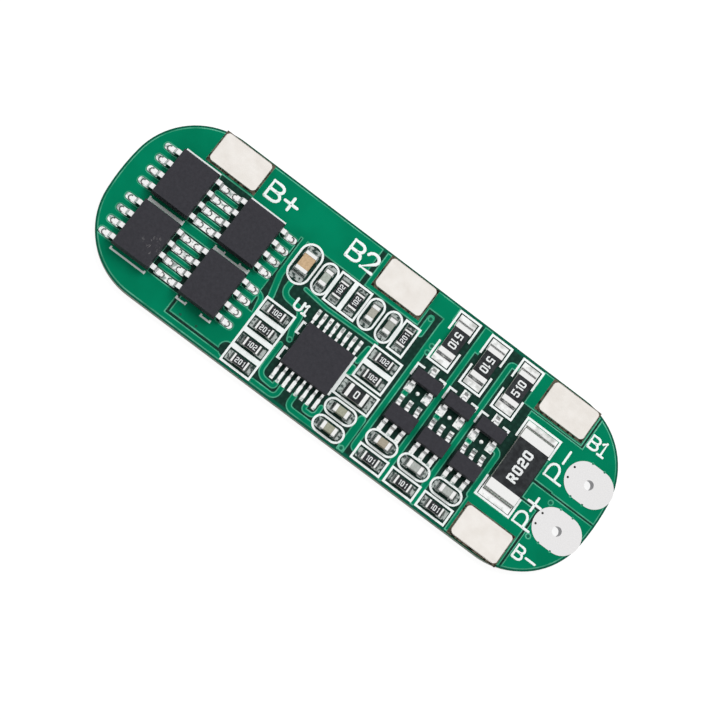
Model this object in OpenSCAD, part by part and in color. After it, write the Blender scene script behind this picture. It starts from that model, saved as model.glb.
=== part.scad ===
// Battery management board for a three-cell lithium pack.
// X runs along the board, Y across it, Z up through it. The origin is the middle of the bare back face.

/* [Board] */
// Length over the two rounded ends
board_l = 52.2; // [51.6:0.2:56]
// Width between the long edges
board_w = 17.1; // [16.9:0.1:19]
// Thickness of the laminate with its solder mask
board_t = 1.0; // [0.8:0.1:1.6]
// Radius of the four corners
corner_r = 7.05; // [6:0.05:7.4]
// Radius of the shallow arc across each end
end_r = 21; // [16:1:40]

/* [Copper] */
// Height of masked copper above bare laminate
copper_t = 0.05; // [0.03:0.01:0.08]
// Bare laminate between copper areas
copper_gap = 0.36; // [0.2:0.02:0.4]
// Bare laminate along the board edge
copper_margin = 0.26; // [0.15:0.01:0.35]
// Width of a signal track
track_w = 0.35; // [0.25:0.05:0.45]
// Width of a cell track
cell_track_w = 0.42; // [0.3:0.02:0.5]
// Width of the bare channels that divide the large areas
channel_w = 0.42; // [0.3:0.02:0.5]
// Inner radius of a bend in a track
track_r = 0.6; // [0.3:0.1:0.9]
// Thickness of a tinned land
land_t = 0.06; // [0.04:0.01:0.1]

/* [Printed outlines] */
// Width of a printed line
print_w = 0.2; // [0.12:0.01:0.26]
// Width of the thin bars beyond a power transistor
fet_print_w = 0.17; // [0.1:0.01:0.2]
// Height of the ink above masked copper
print_t = 0.02; // [0.01:0.01:0.03]

/* [Wire pads] */
// Length of a wire pad along the board
wire_pad_l = 4.8; // [4.4:0.1:5]
// Width of a wire pad between its two straight sides
wire_pad_w = 3.6; // [3.2:0.1:4.2]
// Thickness of tin on a wire pad
wire_pad_t = 0.08; // [0.05:0.01:0.15]
// Diameter of the plated wire hole
wire_hole_d = 0.9; // [0.7:0.1:1.4]
// Thickness of the copper and tin that line the hole
plating_t = 0.17; // [0.16:0.01:0.22]
// Diameter of the ring on the back
wire_ring_d = 2.4; // [2:0.1:3.2]
// Distance between the two wire holes
wire_pitch = 5.06; // [4.8:0.1:5.6]
// Distance from a wire hole to the end of the board
wire_inset = 2.55; // [2.55:0.05:3]
// Diameter of the small vias beside a wire pad
via_d = 0.22; // [0.15:0.01:0.3]

/* [Cell tabs] */
// Length of a nickel tab
tab_l = 5.0; // [4.4:0.1:5.2]
// Width of a nickel tab
tab_w = 3.05; // [2.6:0.05:3.1]
// Thickness of a nickel tab
tab_t = 0.4; // [0.2:0.05:0.8]
// Corner radius of a nickel tab
tab_r = 0.5; // [0.2:0.05:0.8]
// Distance from a tab to the long edge of the board
tab_edge = 0.25; // [0.2:0.05:0.35]
// Tinned land showing around a tab
tab_land_rim = 0.14; // [0.05:0.01:0.16]
// Distance from an end tab's middle to the end of the board
tab_inset = 7.9; // [7.8:0.1:8.2]

/* [Power transistors] */
// Body length
fet_l = 4.9; // [4.7:0.1:5.1]
// Body width
fet_w = 3.9; // [3.7:0.1:4.1]
// Body height
fet_h = 1.45; // [1.2:0.05:1.7]
// Width over the leads
fet_span = 6.0; // [5.9:0.1:6.2]
// Lead pitch
fet_lead_pitch = 1.27; // [1.2:0.01:1.3]
// Lead width
fet_lead_w = 0.46; // [0.35:0.01:0.5]
// Lead thickness
fet_lead_t = 0.2; // [0.15:0.01:0.25]
// Distance between the two columns
fet_col_pitch = 7.08; // [7:0.02:7.2]
// Distance between the two rows
fet_row_pitch = 5.6; // [5.5:0.05:5.8]
// Distance from the outer column to the end of the board
fet_inset = 5.33; // [5.2:0.01:5.4]
// Distance of the four transistors' middle below the board's middle line
fet_drop = 0.7; // [0.5:0.05:0.8]

/* [Monitor chip] */
// Body length
mon_l = 5.0; // [4.9:0.1:5.2]
// Body width
mon_w = 4.4; // [4.2:0.1:4.5]
// Body height
mon_h = 0.95; // [0.8:0.05:1.2]
// Width over the leads
mon_span = 6.4; // [6.3:0.1:6.6]
// Lead pitch
mon_lead_pitch = 0.65; // [0.6:0.01:0.66]
// Lead width
mon_lead_w = 0.24; // [0.18:0.01:0.3]
// Lead thickness
mon_lead_t = 0.13; // [0.1:0.01:0.18]

/* [Small transistors] */
// Body length of both kinds
sot_l = 2.9; // [2.7:0.1:3]
// Body width of a three-lead transistor
sot_w = 1.3; // [1.2:0.1:1.4]
// Width over the leads of a three-lead transistor
sot_span = 2.4; // [2.3:0.1:2.5]
// Body width of a six-lead detector
det_w = 1.6; // [1.5:0.1:1.7]
// Width over the leads of a six-lead detector
det_span = 2.8; // [2.7:0.1:2.9]
// Body height of both kinds
sot_h = 1.0; // [0.8:0.05:1.2]
// Pitch of neighbouring leads
sot_lead_pitch = 0.95; // [0.9:0.01:1]
// Lead width
sot_lead_w = 0.4; // [0.3:0.01:0.45]
// Lead thickness
sot_lead_t = 0.14; // [0.1:0.01:0.18]

/* [Small chips] */
// Length of a small resistor or capacitor
chip_l = 1.6; // [1.5:0.05:1.7]
// Width of a small resistor or capacitor
chip_w = 0.8; // [0.7:0.05:0.85]
// Height of a small resistor
res_h = 0.45; // [0.35:0.05:0.55]
// Height of a small capacitor
cap_h = 0.8; // [0.6:0.05:0.9]
// Length of the filter capacitor and the link resistor
big_chip_l = 2.0; // [1.9:0.05:2.1]
// Width of the filter capacitor and the link resistor
big_chip_w = 1.25; // [1.15:0.05:1.3]
// Height of the filter capacitor
big_cap_h = 1.1; // [0.8:0.05:1.25]
// Height of the link resistor
big_res_h = 0.5; // [0.4:0.05:0.6]
// Thickness of the metal on a chip's end
end_t = 0.04; // [0.02:0.01:0.06]

/* [Bleed resistors] */
// Length
bleed_l = 3.2; // [3:0.05:3.3]
// Width
bleed_w = 1.6; // [1.4:0.05:1.65]
// Height
bleed_h = 0.55; // [0.45:0.05:0.7]
// Length of the metal ends on top
bleed_wrap = 0.5; // [0.35:0.05:0.7]

/* [Shunt resistor] */
// Length
shunt_l = 6.35; // [6:0.05:6.45]
// Width
shunt_w = 3.15; // [2.9:0.05:3.2]
// Height
shunt_h = 0.65; // [0.5:0.05:0.9]
// Length of the metal ends on top
shunt_wrap = 0.95; // [0.7:0.05:1.2]

/* [Layout] */
// Distance between neighbouring cell stages
cell_pitch = 3.53; // [3.5:0.01:3.56]
// Distance from the last cell stage to the end of the board
cell_inset = 12.62; // [12.6:0.01:12.7]
// Distance from the shunt resistor to the end of the board
shunt_inset = 8.63; // [8.6:0.01:8.7]
// Pitch of the stacked small resistors
stack_pitch = 1.78; // [1.75:0.01:1.8]

/* [Hidden] */
$fn = 48;

// Heights, up from the back of the board
z_land = board_t + land_t;

// Ends and long edges of the board
end_x = board_l / 2;
edge_y = board_w / 2;

// Wire pads and the vias around them
wire_x = end_x - wire_inset;
wire_y = wire_pitch / 2;
wire_via_x = wire_pad_l / 2 - 0.42;

// Cell tabs
tab_x = end_x - tab_inset;
tab_y = edge_y - tab_edge - tab_w / 2;
tab_places = [[-tab_x, tab_y], [0, tab_y], [tab_x, tab_y], [tab_x, -tab_y]];
tab_land_l = tab_l + 2 * tab_land_rim;
tab_land_w = tab_w + 2 * tab_land_rim;
tab_land_in = edge_y - tab_edge - tab_w - tab_land_rim;

// Power transistors: 1 and 2 in the outer column, 3 and 4 in the inner one
fet_cols = [-end_x + fet_inset, -end_x + fet_inset + fet_col_pitch];
fet_rows = [fet_row_pitch / 2 - fet_drop, -fet_row_pitch / 2 - fet_drop];
fet_places = [for (col = fet_cols, row = fet_rows) [col, row]];
fet_land_l = 1.3;
fet_land_w = 0.6;
fet_land_r = 0.26;
fet_land_in = fet_span / 2 - 0.7;
fet_land_out = fet_land_in + fet_land_l;
fet_shoulder = 0.42;
fet_land_gap = 0.12;
fet_field_gap = 0.23;
fet_strip_l = 2.3;
fet_strip_w = fet_lead_pitch - fet_land_w - 3 * fet_land_gap;

// Monitor chip
mon_x = -2.5;
mon_y = -3.17;
mon_land_l = 1.05;
mon_land_w = 0.34;
mon_land_in = mon_span / 2 - 0.5;
mon_shoulder = 0.26;

// Small transistors and detectors of a cell stage
sot_y = 1.05;
sot_land_l = 1.0;
sot_land_w = 0.75;
sot_land_in = sot_span / 2 - 0.55;
sot_shoulder = 0.2;
test_land_d = 0.36;
det_y = -2.93;
det_land_l = 1.0;
det_land_w = 0.44;
det_land_in = det_span / 2 - 0.5;
det_shoulder = 0.22;

// Chips: length of a land, inner edge of a land from the chip's middle, metal on top
chip_wrap = 0.2;
cap_wrap = 0.38;
chip_land_out = chip_l / 2 + 0.52;
chip_land_in = chip_l / 2 - 0.32;
big_land_out = big_chip_l / 2 + 0.65;
big_land_in = big_chip_l / 2 - 0.4;
land_side = 0.06;

// Cell stages, numbered from the middle of the board
cell_x = [for (k = [2, 1, 0]) end_x - cell_inset - k * cell_pitch];
bleed_dx = -0.1;
bleed_land_out = bleed_l / 2 + 0.8;
bleed_y = edge_y - bleed_land_out - 0.58;
bleed_land_in = bleed_l / 2 - 0.45;
cell_cap_y = -edge_y + 2.93;
cell_res_y = -edge_y + 1.13;
shunt_x = end_x - shunt_inset;
shunt_land_out = shunt_l / 2 + 0.8;
shunt_land_in = shunt_l / 2 - shunt_wrap;

// Row of small chips above the monitor chip, long sides side by side
row_y = 3.0;
row_res_x = [-4.5, -2.77, 2.56];
row_cap_x = [-6.16, -1.03, 0.86];
filter_x = -8.33;

// Stacks of small chips either side of the monitor chip
gate_x = -7.72;
gate_top_y = -edge_y + 1.11 + 3 * stack_pitch;
gate_y = [for (k = [0:3]) gate_top_y - k * stack_pitch];
sense_x = 2.33;
sense_y = [0.24, -1.56];
link_x = 2.13;
link_y = -3.62;
corner_cap_x = 1.9;
corner_cap_y = [-edge_y + 2.95, -edge_y + 1.11];

// Moulded bodies: slope of the sides, height share of the widest line, and space below
mould_draft = 9;
belt_share = 0.45;
standoff = 0.1;

// Roundings of the chips' metal ends and of the solder beads
res_r = 0.06;
cap_r = 0.1;
bead_base_r = 0.29;
bead_h = 0.14;

// Printed frames: space between a chip's land and the printed line
frame_gap = 0.08;
window_w = chip_w + 2 * land_side + 0.38;
window_l = 2 * (chip_land_out + frame_gap);
ring_w = chip_w + 0.9;
ring_l = 2 * chip_land_out + 0.62;
big_ring_w = big_chip_w + 1.0;
big_ring_l = 2 * big_land_out + 0.8;

// ---------- Flat shapes ----------

// Board outline drawn in from the edge: four corner arcs that run smoothly into an arc across each end
module outline_2d(inset = 0) {
    r = corner_r - inset;
    big_r = end_r - inset;
    arc_x = end_x - end_r;
    corner_y = edge_y - corner_r;
    corner_x = arc_x + sqrt(pow(end_r - corner_r, 2) - corner_y * corner_y);
    blend = atan2(corner_y, corner_x - arc_x);
    reach = big_r / cos(blend) + 1;
    square([2 * corner_x, board_w - 2 * inset], center = true);
    for (side = [-1, 1]) {
        for (edge = [-1, 1])
            translate([side * corner_x, edge * corner_y]) circle(r);
        mirror([side < 0 ? 1 : 0, 0]) translate([arc_x, 0]) intersection() {
            circle(big_r, $fn = 180);
            polygon([[0, 0], reach * [cos(blend), -sin(blend)], reach * [cos(blend), sin(blend)]]);
        }
    }
}

module rounded_2d(l, w, r) {
    square([l - 2 * r, w], center = true);
    square([l, w - 2 * r], center = true);
    for (sx = [-1, 1], sy = [-1, 1])
        translate([sx * (l / 2 - r), sy * (w / 2 - r)]) circle(r);
}

// Rectangle between two opposite corners
module block_2d(a, b) {
    translate([min(a[0], b[0]), min(a[1], b[1])]) square([abs(a[0] - b[0]), abs(a[1] - b[1])]);
}

// Stadium shape, long along X
module stadium_2d(l, w) {
    square([l - w, w], center = true);
    for (side = [-1, 1]) translate([side * (l - w) / 2, 0]) circle(d = w);
}

// Points along a path whose corners are rounded to radius r
function unit(v) = v / norm(v);
function bend(a, b, c, r, steps) =
    let (u = unit(a - b), v = unit(c - b), half = acos(u * v) / 2)
    let (run = min(r / tan(half), 0.48 * norm(a - b), 0.48 * norm(c - b)), rad = run * tan(half))
    let (mid = b + unit(u + v) * rad / sin(half))
    let (p = b + u * run - mid, q = b + v * run - mid)
    let (turn = atan2(p[0] * q[1] - p[1] * q[0], p * q))
    [for (i = [0:steps]) let (t = turn * i / steps)
        mid + [p[0] * cos(t) - p[1] * sin(t), p[0] * sin(t) + p[1] * cos(t)]];
function smooth(points, r) = [
    points[0],
    for (i = [1:1:len(points) - 2]) each bend(points[i - 1], points[i], points[i + 1], r, 5),
    points[len(points) - 1]
];
function normal_at(path, i) =
    let (a = path[max(i - 1, 0)], b = path[min(i + 1, len(path) - 1)], d = unit(b - a))
    [-d[1], d[0]];

// Half circle that closes the end of a track at p, from the side that n points to round to the other side
function end_cap(p, n, w) = [for (t = [30:30:150]) p + (n * cos(t) + [n[1], -n[0]] * sin(t)) * w / 2];

// Copper track of one width along a smooth path, with round ends
module track_2d(points, w = track_w) {
    path = smooth(points, track_r + w / 2);
    last = len(path) - 1;
    polygon(concat(
        [for (i = [0:last]) path[i] + normal_at(path, i) * w / 2],
        end_cap(path[last], normal_at(path, last), w),
        [for (i = [last:-1:0]) path[i] - normal_at(path, i) * w / 2],
        end_cap(path[0], -normal_at(path, 0), w)
    ));
}

// ---------- Lands and printed lines of one package ----------

// Two lands of a two-terminal chip that lies along X
module chip_lands_2d(land_in, land_out, w) {
    for (side = [-1, 1]) translate([side * (land_in + land_out) / 2, 0])
        square([land_out - land_in, w], center = true);
}

module small_lands_2d() chip_lands_2d(chip_land_in, chip_land_out, chip_w + 2 * land_side);
module big_lands_2d() chip_lands_2d(big_land_in, big_land_out, big_chip_w + 2 * land_side);

// One row of lands of a leaded package, the leads pointing along +Y
module lead_lands_2d(places, land_in, land_l, w) {
    for (x = places) translate([x, land_in + land_l / 2]) square([w, land_l], center = true);
}

// Frame around stacked chips that lie along X, with a solid band between neighbours
module frame_2d(places, l, w) {
    top = max(places) + w / 2 + print_w;
    bottom = min(places) - w / 2 - print_w;
    difference() {
        translate([0, (top + bottom) / 2]) square([l + 2 * print_w, top - bottom], center = true);
        for (y = places) translate([0, y]) square([l, w], center = true);
    }
}

// Ring around a capacitor that lies along X
module ring_2d(l, w) {
    difference() {
        stadium_2d(l, w);
        stadium_2d(l - 2 * print_w, w - 2 * print_w);
    }
}

// Four corner angles around a chip that lies along X, open in the middle of the long sides
module open_frame_2d(l, w, opening) {
    difference() {
        square([l, w], center = true);
        square([l - 2 * print_w, w - 2 * print_w], center = true);
        square([opening, w + 1], center = true);
    }
}

// ---------- Where everything stands ----------

function mirrored(n, pitch) = [for (k = [0:n - 1]) (k - (n - 1) / 2) * pitch];

module at_cells() for (x = cell_x) translate([x, 0]) children();
module at_row_chips(places) for (x = places) translate([x, row_y]) rotate(90) children();
module at_gate_chips() for (y = gate_y) translate([gate_x, y]) children();
module at_sense_chips() for (y = sense_y) translate([sense_x, y]) children();
module at_corner_caps() for (y = corner_cap_y) translate([corner_cap_x, y]) children();

// Small capacitors that have a printed ring round them
module at_rings() {
    at_row_chips(row_cap_x) children();
    at_corner_caps() children();
    at_cells() translate([0, cell_cap_y]) children();
}

module fet_lands_2d() {
    rows = mirrored(4, fet_lead_pitch);
    for (place = fet_places) {
        outward = place[0] == fet_cols[0] ? -1 : 1;
        translate(place) for (y = rows)
            translate([outward * (fet_land_in + fet_land_l / 2), y])
                rounded_2d(fet_land_l, fet_land_w, fet_land_r);
    }
    bridge = fet_col_pitch - 2 * fet_land_in;
    for (row = fet_rows, y = rows)
        translate([(fet_cols[0] + fet_cols[1]) / 2, row + y]) rounded_2d(bridge, fet_land_w, fet_land_r);
}

module monitor_lands_2d() {
    translate([mon_x, mon_y]) for (side = [0, 180]) rotate(side)
        lead_lands_2d(mirrored(8, mon_lead_pitch), mon_land_in, mon_land_l, mon_land_w);
}

module cell_lands_2d() {
    at_cells() {
        translate([0, sot_y]) {
            lead_lands_2d([0], sot_land_in, sot_land_l, sot_land_w);
            rotate(180) lead_lands_2d(mirrored(2, 2 * sot_lead_pitch), sot_land_in, sot_land_l, sot_land_w);
        }
        translate([0, -0.2]) circle(d = test_land_d);
        translate([0, det_y]) for (side = [0, 180]) rotate(side)
            lead_lands_2d(mirrored(3, sot_lead_pitch), det_land_in, det_land_l, det_land_w);
    }
}

module bleed_lands_2d() {
    at_cells() translate([bleed_dx, bleed_y]) rotate(90)
        chip_lands_2d(bleed_land_in, bleed_land_out, bleed_w + 2 * land_side);
}

module shunt_lands_2d() {
    translate([shunt_x, 0]) rotate(90)
        chip_lands_2d(shunt_land_in, shunt_land_out, shunt_w + 2 * land_side);
}

module small_chip_lands_2d() {
    at_row_chips(concat(row_res_x, row_cap_x)) small_lands_2d();
    at_row_chips([filter_x]) big_lands_2d();
    at_gate_chips() small_lands_2d();
    at_sense_chips() small_lands_2d();
    translate([link_x, link_y]) big_lands_2d();
    at_corner_caps() small_lands_2d();
    at_cells() for (y = [cell_cap_y, cell_res_y]) translate([0, y]) small_lands_2d();
}

module tab_lands_2d() {
    for (place = tab_places) translate(place) square([tab_land_l, tab_land_w], center = true);
}

module wire_pad_2d() stadium_2d(wire_pad_l, wire_pad_w);

module at_wire_pads() for (side = [-1, 1]) translate([wire_x, side * wire_y]) children();

// Two small vias inside the pad and four on its straight sides
module at_wire_vias() {
    for (y = [-0.55, 0.55]) translate([-wire_via_x, y]) children();
    for (x = [-0.8, 0.5], side = [-1, 1]) translate([x, side * wire_pad_w / 2]) children();
}

module all_lands_2d() {
    fet_lands_2d();
    monitor_lands_2d();
    cell_lands_2d();
    bleed_lands_2d();
    shunt_lands_2d();
    small_chip_lands_2d();
    tab_lands_2d();
    at_wire_pads() wire_pad_2d();
}

// ---------- Copper under the mask ----------

// Line of the copper tracks left of each cell stage, and one more right of the last
function stage_line(k) = cell_x[0] + (k - 0.5) * cell_pitch - 0.07;

fet_right = fet_cols[1] + fet_land_out;
gate_left = gate_x - window_l / 2 - print_w;
row_top = row_y + ring_l / 2;
tab_left = tab_x - tab_land_l / 2;
tab_right = tab_x + tab_land_l / 2;
b2_left = -tab_land_l / 2;
mid_gap_y = -0.13;
stage_top = bleed_y + bleed_land_out;

// Pack positive: left end, strip along the upper edge, and the area beside the inner transistors
module positive_copper_2d() {
    block_2d([-end_x, -edge_y], [fet_right, edge_y]);
    block_2d([fet_right, row_top + 0.15], [b2_left - 1, edge_y]);
    block_2d([fet_right, gate_y[1] + 0.6], [gate_left, -edge_y]);
    track_2d([[gate_left - 0.28, row_top + 0.4], [gate_left - 0.22, 0.9], [gate_left + 0.3, -1.1]], 0.45);
    track_2d([[fet_right, -1.5], [gate_left - 0.3, -1.7], [gate_left, -3.2]]);
}

// Bare channels that divide the copper of the left end
module channels_2d() {
    left = fet_cols[1] - fet_w / 2 + 0.25 - channel_w / 2;
    fet_end = fet_rows[1] - fet_l / 2;
    bottom = fet_end - 1.7 - channel_w / 2;
    block_2d([left, fet_end + 0.3], [left + channel_w, bottom]);
    block_2d([left, bottom + channel_w], [gate_left - 0.4, bottom]);
    translate([gate_left, fet_end - 1.3]) circle(r = 0.75);
}

// Bare laminate round the leads of the power transistors, with thin strips of copper left in the middle field
module fet_bare_2d() {
    rows = mirrored(4, fet_lead_pitch);
    reach = fet_land_out - fet_w / 2 + 0.1 + fet_land_gap;
    for (place = fet_places) {
        outward = place[0] == fet_cols[0] ? -1 : 1;
        translate(place) for (y = rows) translate([outward * (fet_land_out + fet_land_gap - reach / 2), y])
            rounded_2d(reach, fet_land_w + 2 * fet_land_gap, fet_land_r + fet_land_gap);
    }
    field_l = fet_col_pitch - fet_w + 0.2;
    field_w = rows[3] - rows[0] + fet_land_w + 2 * fet_field_gap;
    mid_x = (fet_cols[0] + fet_cols[1]) / 2;
    difference() {
        union() {
            for (row = fet_rows) translate([mid_x, row]) square([field_l, field_w], center = true);
            block_2d([mid_x - field_l / 2, fet_rows[0]], [mid_x + field_l / 2, tab_land_in - fet_land_gap]);
        }
        for (row = fet_rows, y = mirrored(3, fet_lead_pitch))
            translate([mid_x, row + y]) rounded_2d(fet_strip_l, fet_strip_w, 0.1);
    }
}

// Cell 2 area beside its tab
module b2_copper_2d() {
    block_2d([b2_left - copper_gap, row_top + 0.15], [-b2_left + 0.12, edge_y]);
    block_2d([0, stage_top - 1.3], [cell_x[0] + bleed_dx - bleed_w / 2 - 0.5, edge_y]);
    track_2d([[-b2_left + 0.8, stage_top - 2], [-b2_left + 0.8, row_top - 0.35]], 0.5);
}

// Cell 1 area, load negative, load positive and battery negative areas at the right end
module right_copper_2d() {
    land_y = tab_land_in;
    low = mid_gap_y - channel_w / 2;
    high = mid_gap_y + channel_w / 2;
    shunt_edge = shunt_x + shunt_w / 2 + 0.3;
    left = stage_line(3) + 0.15;
    // cell 1
    block_2d([tab_left - 0.95, land_y - 0.1], [tab_right + 0.08, edge_y]);
    // load negative
    block_2d([tab_left, land_y - copper_gap], [end_x, shunt_land_out]);
    block_2d([shunt_edge, land_y - copper_gap], [end_x, high]);
    block_2d([tab_right + 0.08 + copper_gap, 0], [end_x, edge_y]);
    // load positive
    block_2d([shunt_edge, low], [end_x, low - 1.5]);
    block_2d([tab_right + 0.1 + copper_gap, low], [end_x, -edge_y]);
    // battery negative
    block_2d([shunt_edge, low - 1.5 - copper_gap], [tab_right + 0.1, -edge_y]);
    block_2d([left, -shunt_land_out - 0.3], [tab_right, -edge_y]);
}

// Tracks around the monitor chip
module monitor_tracks_2d() {
    top = mon_y + mon_land_in + mon_land_l;
    bottom = mon_y - mon_land_in - mon_land_l;
    left = mon_x - mon_l / 2;
    first = mon_x - 3.5 * mon_lead_pitch;
    track_2d([
        [filter_x, 1.1], [filter_x, -0.3], [left - 1.0, -0.5], [left - 0.8, -2.3], [left - 0.45, -3.2]
    ], 0.45);
    track_2d([[row_cap_x[0] - 0.8, 1.25], [row_res_x[0], 1.0], [row_cap_x[2], 1.15]], 0.25);
    track_2d([
        [left - 0.85, -4.0], [left - 0.85, bottom - 0.35],
        [first + mon_lead_pitch, bottom - 0.45], [first + mon_lead_pitch, bottom]
    ]);
    track_2d([
        [left - 0.95, bottom - 1.15], [first + 2 * mon_lead_pitch, bottom - 1.15],
        [first + 2 * mon_lead_pitch, bottom]
    ]);
    track_2d([
        [first + 4 * mon_lead_pitch, bottom], [first + 4 * mon_lead_pitch, bottom - 1.15],
        [corner_cap_x - 0.9, bottom - 1.15]
    ], 0.4);
    track_2d([
        [first + 6 * mon_lead_pitch, bottom], [first + 6 * mon_lead_pitch, bottom - 0.45],
        [corner_cap_x - 1.6, bottom - 0.45], [corner_cap_x - 1.6, corner_cap_y[0] - 0.7]
    ], 0.3);
    track_2d([[sense_x - 1.75, top - 0.2], [sense_x - 1.9, -1.1]]);
    track_2d([[sense_x - 1.9, -1.8], [sense_x - 1.9, -2.3]], 0.45);
    track_2d([[corner_cap_x + 1.9, corner_cap_y[0] + 0.6], [corner_cap_x + 1.9, 0.3 - edge_y]], 0.6);
}

// Tracks between and below the cell stages
module cell_tracks_2d() {
    low_y = cell_res_y - 0.7;
    bend_y = stage_top - 0.9;
    last_line = stage_line(3) + 0.15;
    translate([stage_line(0) - cell_track_w / 2 + 0.69, (sot_y + 2.1 + bend_y) / 2])
        rounded_2d(1.3, bend_y - sot_y - 2.1, 0.5);
    track_2d([
        [stage_line(0), bend_y - 1], [stage_line(0), cell_res_y], [stage_line(0) + 0.5, cell_res_y]
    ], cell_track_w);
    block_2d([stage_line(1) - cell_track_w / 2, stage_top - 2], [stage_line(1) + 0.55, edge_y]);
    track_2d([[stage_line(1), bend_y], [stage_line(1), low_y]], cell_track_w);
    track_2d([
        [stage_line(2) + 0.6, bend_y], [stage_line(2), bend_y], [stage_line(2), low_y]
    ], cell_track_w);
    track_2d([
        [cell_x[2] + sot_lead_pitch, 0], [last_line, 0], [last_line, -shunt_land_out - 0.6]
    ], cell_track_w);
    at_cells() translate([-sot_lead_pitch, 0]) block_2d([-0.2, sot_y - 1.5], [0.2, det_y + 2]);
}

module copper_2d() {
    intersection() {
        outline_2d(copper_margin);
        union() {
            difference() {
                positive_copper_2d();
                channels_2d();
                fet_bare_2d();
            }
            b2_copper_2d();
            right_copper_2d();
            monitor_tracks_2d();
            cell_tracks_2d();
        }
    }
}

// ---------- Printed outlines ----------

// Thin bars with a tick at each end beyond the two short sides of a power transistor
module fet_print_2d(notch) {
    end = fet_w / 2 - 0.08;
    notch_half = 0.75;
    whole = [[-end, end]];
    halves = [[-end, -notch_half], [notch_half, end]];
    for (side = [-1, 1], run = notch && side < 0 ? halves : whole) {
        inner = side * (fet_l / 2 + 0.08);
        outer = side * (fet_l / 2 + 0.2 + fet_print_w);
        block_2d([run[0], outer - side * fet_print_w], [run[1], outer]);
        block_2d([run[0], inner], [run[0] + fet_print_w, outer]);
        block_2d([run[1] - fet_print_w, inner], [run[1], outer]);
    }
}

// Brackets beside the two short sides of the monitor chip
module monitor_print_2d() {
    reach = mon_l / 2 + 0.3;
    for (y = [-1, 1]) translate([mon_x - reach - print_w / 2, mon_y + y * 1.38 + 0.04]) {
        square([print_w, 1.3], center = true);
        for (tick = [-1, 1]) translate([0.12, tick * 0.55]) square([0.4, print_w], center = true);
    }
    translate([mon_x + mon_l / 2 + 0.15, mon_y + 0.2]) square([print_w, 4.2], center = true);
}

// Everything inside the printed rings, where no copper shows
module ring_insides_2d() {
    at_rings() stadium_2d(ring_l, ring_w);
    at_row_chips([filter_x]) stadium_2d(big_ring_l, big_ring_w);
}

// Angles beside the single lead of a balance switch
module switch_print_2d() {
    top = sot_y + 1.1;
    left = -sot_l / 2 - 0.2;
    right = sot_l / 2 + 0.1;
    block_2d([left, top], [left + 0.85, top - print_w]);
    block_2d([left, top], [left + print_w, top - 1.3]);
    block_2d([right, top], [right - 0.75, top - print_w]);
    block_2d([right, top], [right - print_w, top - 0.6]);
}

// Print that joins the first two resistor windows of the row
module row_bridge_2d() {
    left = row_res_x[0];
    right = row_res_x[1];
    block_2d([left + window_w / 2, row_y - window_l / 2], [right - window_w / 2, row_y + window_l / 2]);
    for (side = [-1, 1])
        block_2d([left, row_y + side * window_l / 2], [right, row_y + side * (window_l / 2 + print_w)]);
}

module print_2d() {
    difference() {
        union() {
            for (place = fet_places) translate(place) fet_print_2d(place[0] == fet_cols[1]);
            monitor_print_2d();
            at_cells() {
                switch_print_2d();
                translate([bleed_dx, bleed_y]) rotate(90)
                    open_frame_2d(2 * bleed_land_out + 0.6, bleed_w + 0.8, 1.25);
                translate([0, cell_res_y]) frame_2d([0], window_l, window_w);
            }
            translate([shunt_x, 0]) rotate(90) open_frame_2d(2 * shunt_land_out + 0.5, shunt_w + 0.7, 4.3);
            at_row_chips(row_res_x) frame_2d([0], window_l, window_w);
            row_bridge_2d();
            at_rings() ring_2d(ring_l, ring_w);
            at_row_chips([filter_x]) ring_2d(big_ring_l, big_ring_w);
            translate([gate_x, 0]) frame_2d(gate_y, window_l, window_w);
            translate([sense_x, 0]) frame_2d(sense_y, window_l, window_w);
            translate([link_x, link_y]) frame_2d([0], 2 * (big_land_out + frame_gap), big_chip_w + 0.4);
        }
        all_lands_2d();
    }
}

// ---------- Solid forms ----------

// Block with its edges rounded, centred in X and Y and standing on z = 0
module soft_block(l, w, h, r, corner = 0) {
    plan_r = corner > 0 ? corner : r;
    intersection() {
        translate([0, 0, -h]) linear_extrude(3 * h) rounded_2d(l, w, plan_r);
        translate([0, w, h / 2]) rotate([90, 0, 0]) linear_extrude(2 * w) rounded_2d(l, h, r);
        translate([-l, 0, h / 2]) rotate([90, 0, 90]) linear_extrude(2 * l) rounded_2d(w, h, r);
    }
}

// Side profile of a moulded body: a straight belt where the leads come out, drafted above and below
module mould_profile_2d(l, h, belt_z, belt_t) {
    draft = tan(mould_draft);
    up = (h - belt_z - belt_t / 2) * draft;
    down = (belt_z - belt_t / 2) * draft;
    polygon([
        [-l / 2, belt_z - belt_t / 2], [-l / 2, belt_z + belt_t / 2], [-l / 2 + up, h],
        [l / 2 - up, h], [l / 2, belt_z + belt_t / 2], [l / 2, belt_z - belt_t / 2],
        [l / 2 - down, 0], [-l / 2 + down, 0]
    ]);
}

// Moulded body, long along X, standing off the lands
module moulded_body(l, w, h, lead_t) {
    translate([0, 0, z_land + standoff]) intersection() {
        translate([0, w, 0]) rotate([90, 0, 0]) linear_extrude(2 * w)
            mould_profile_2d(l, h, h * belt_share, lead_t);
        translate([-l, 0, 0]) rotate([90, 0, 90]) linear_extrude(2 * l)
            mould_profile_2d(w, h, h * belt_share, lead_t);
    }
}

// Quarter of a bent strip, its centre at the origin, between two angles a right angle apart
module bend_2d(r, t, turn) {
    rotate(turn) intersection() {
        difference() {
            circle(r + t);
            circle(r);
        }
        square(r + t + 1);
    }
}

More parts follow.
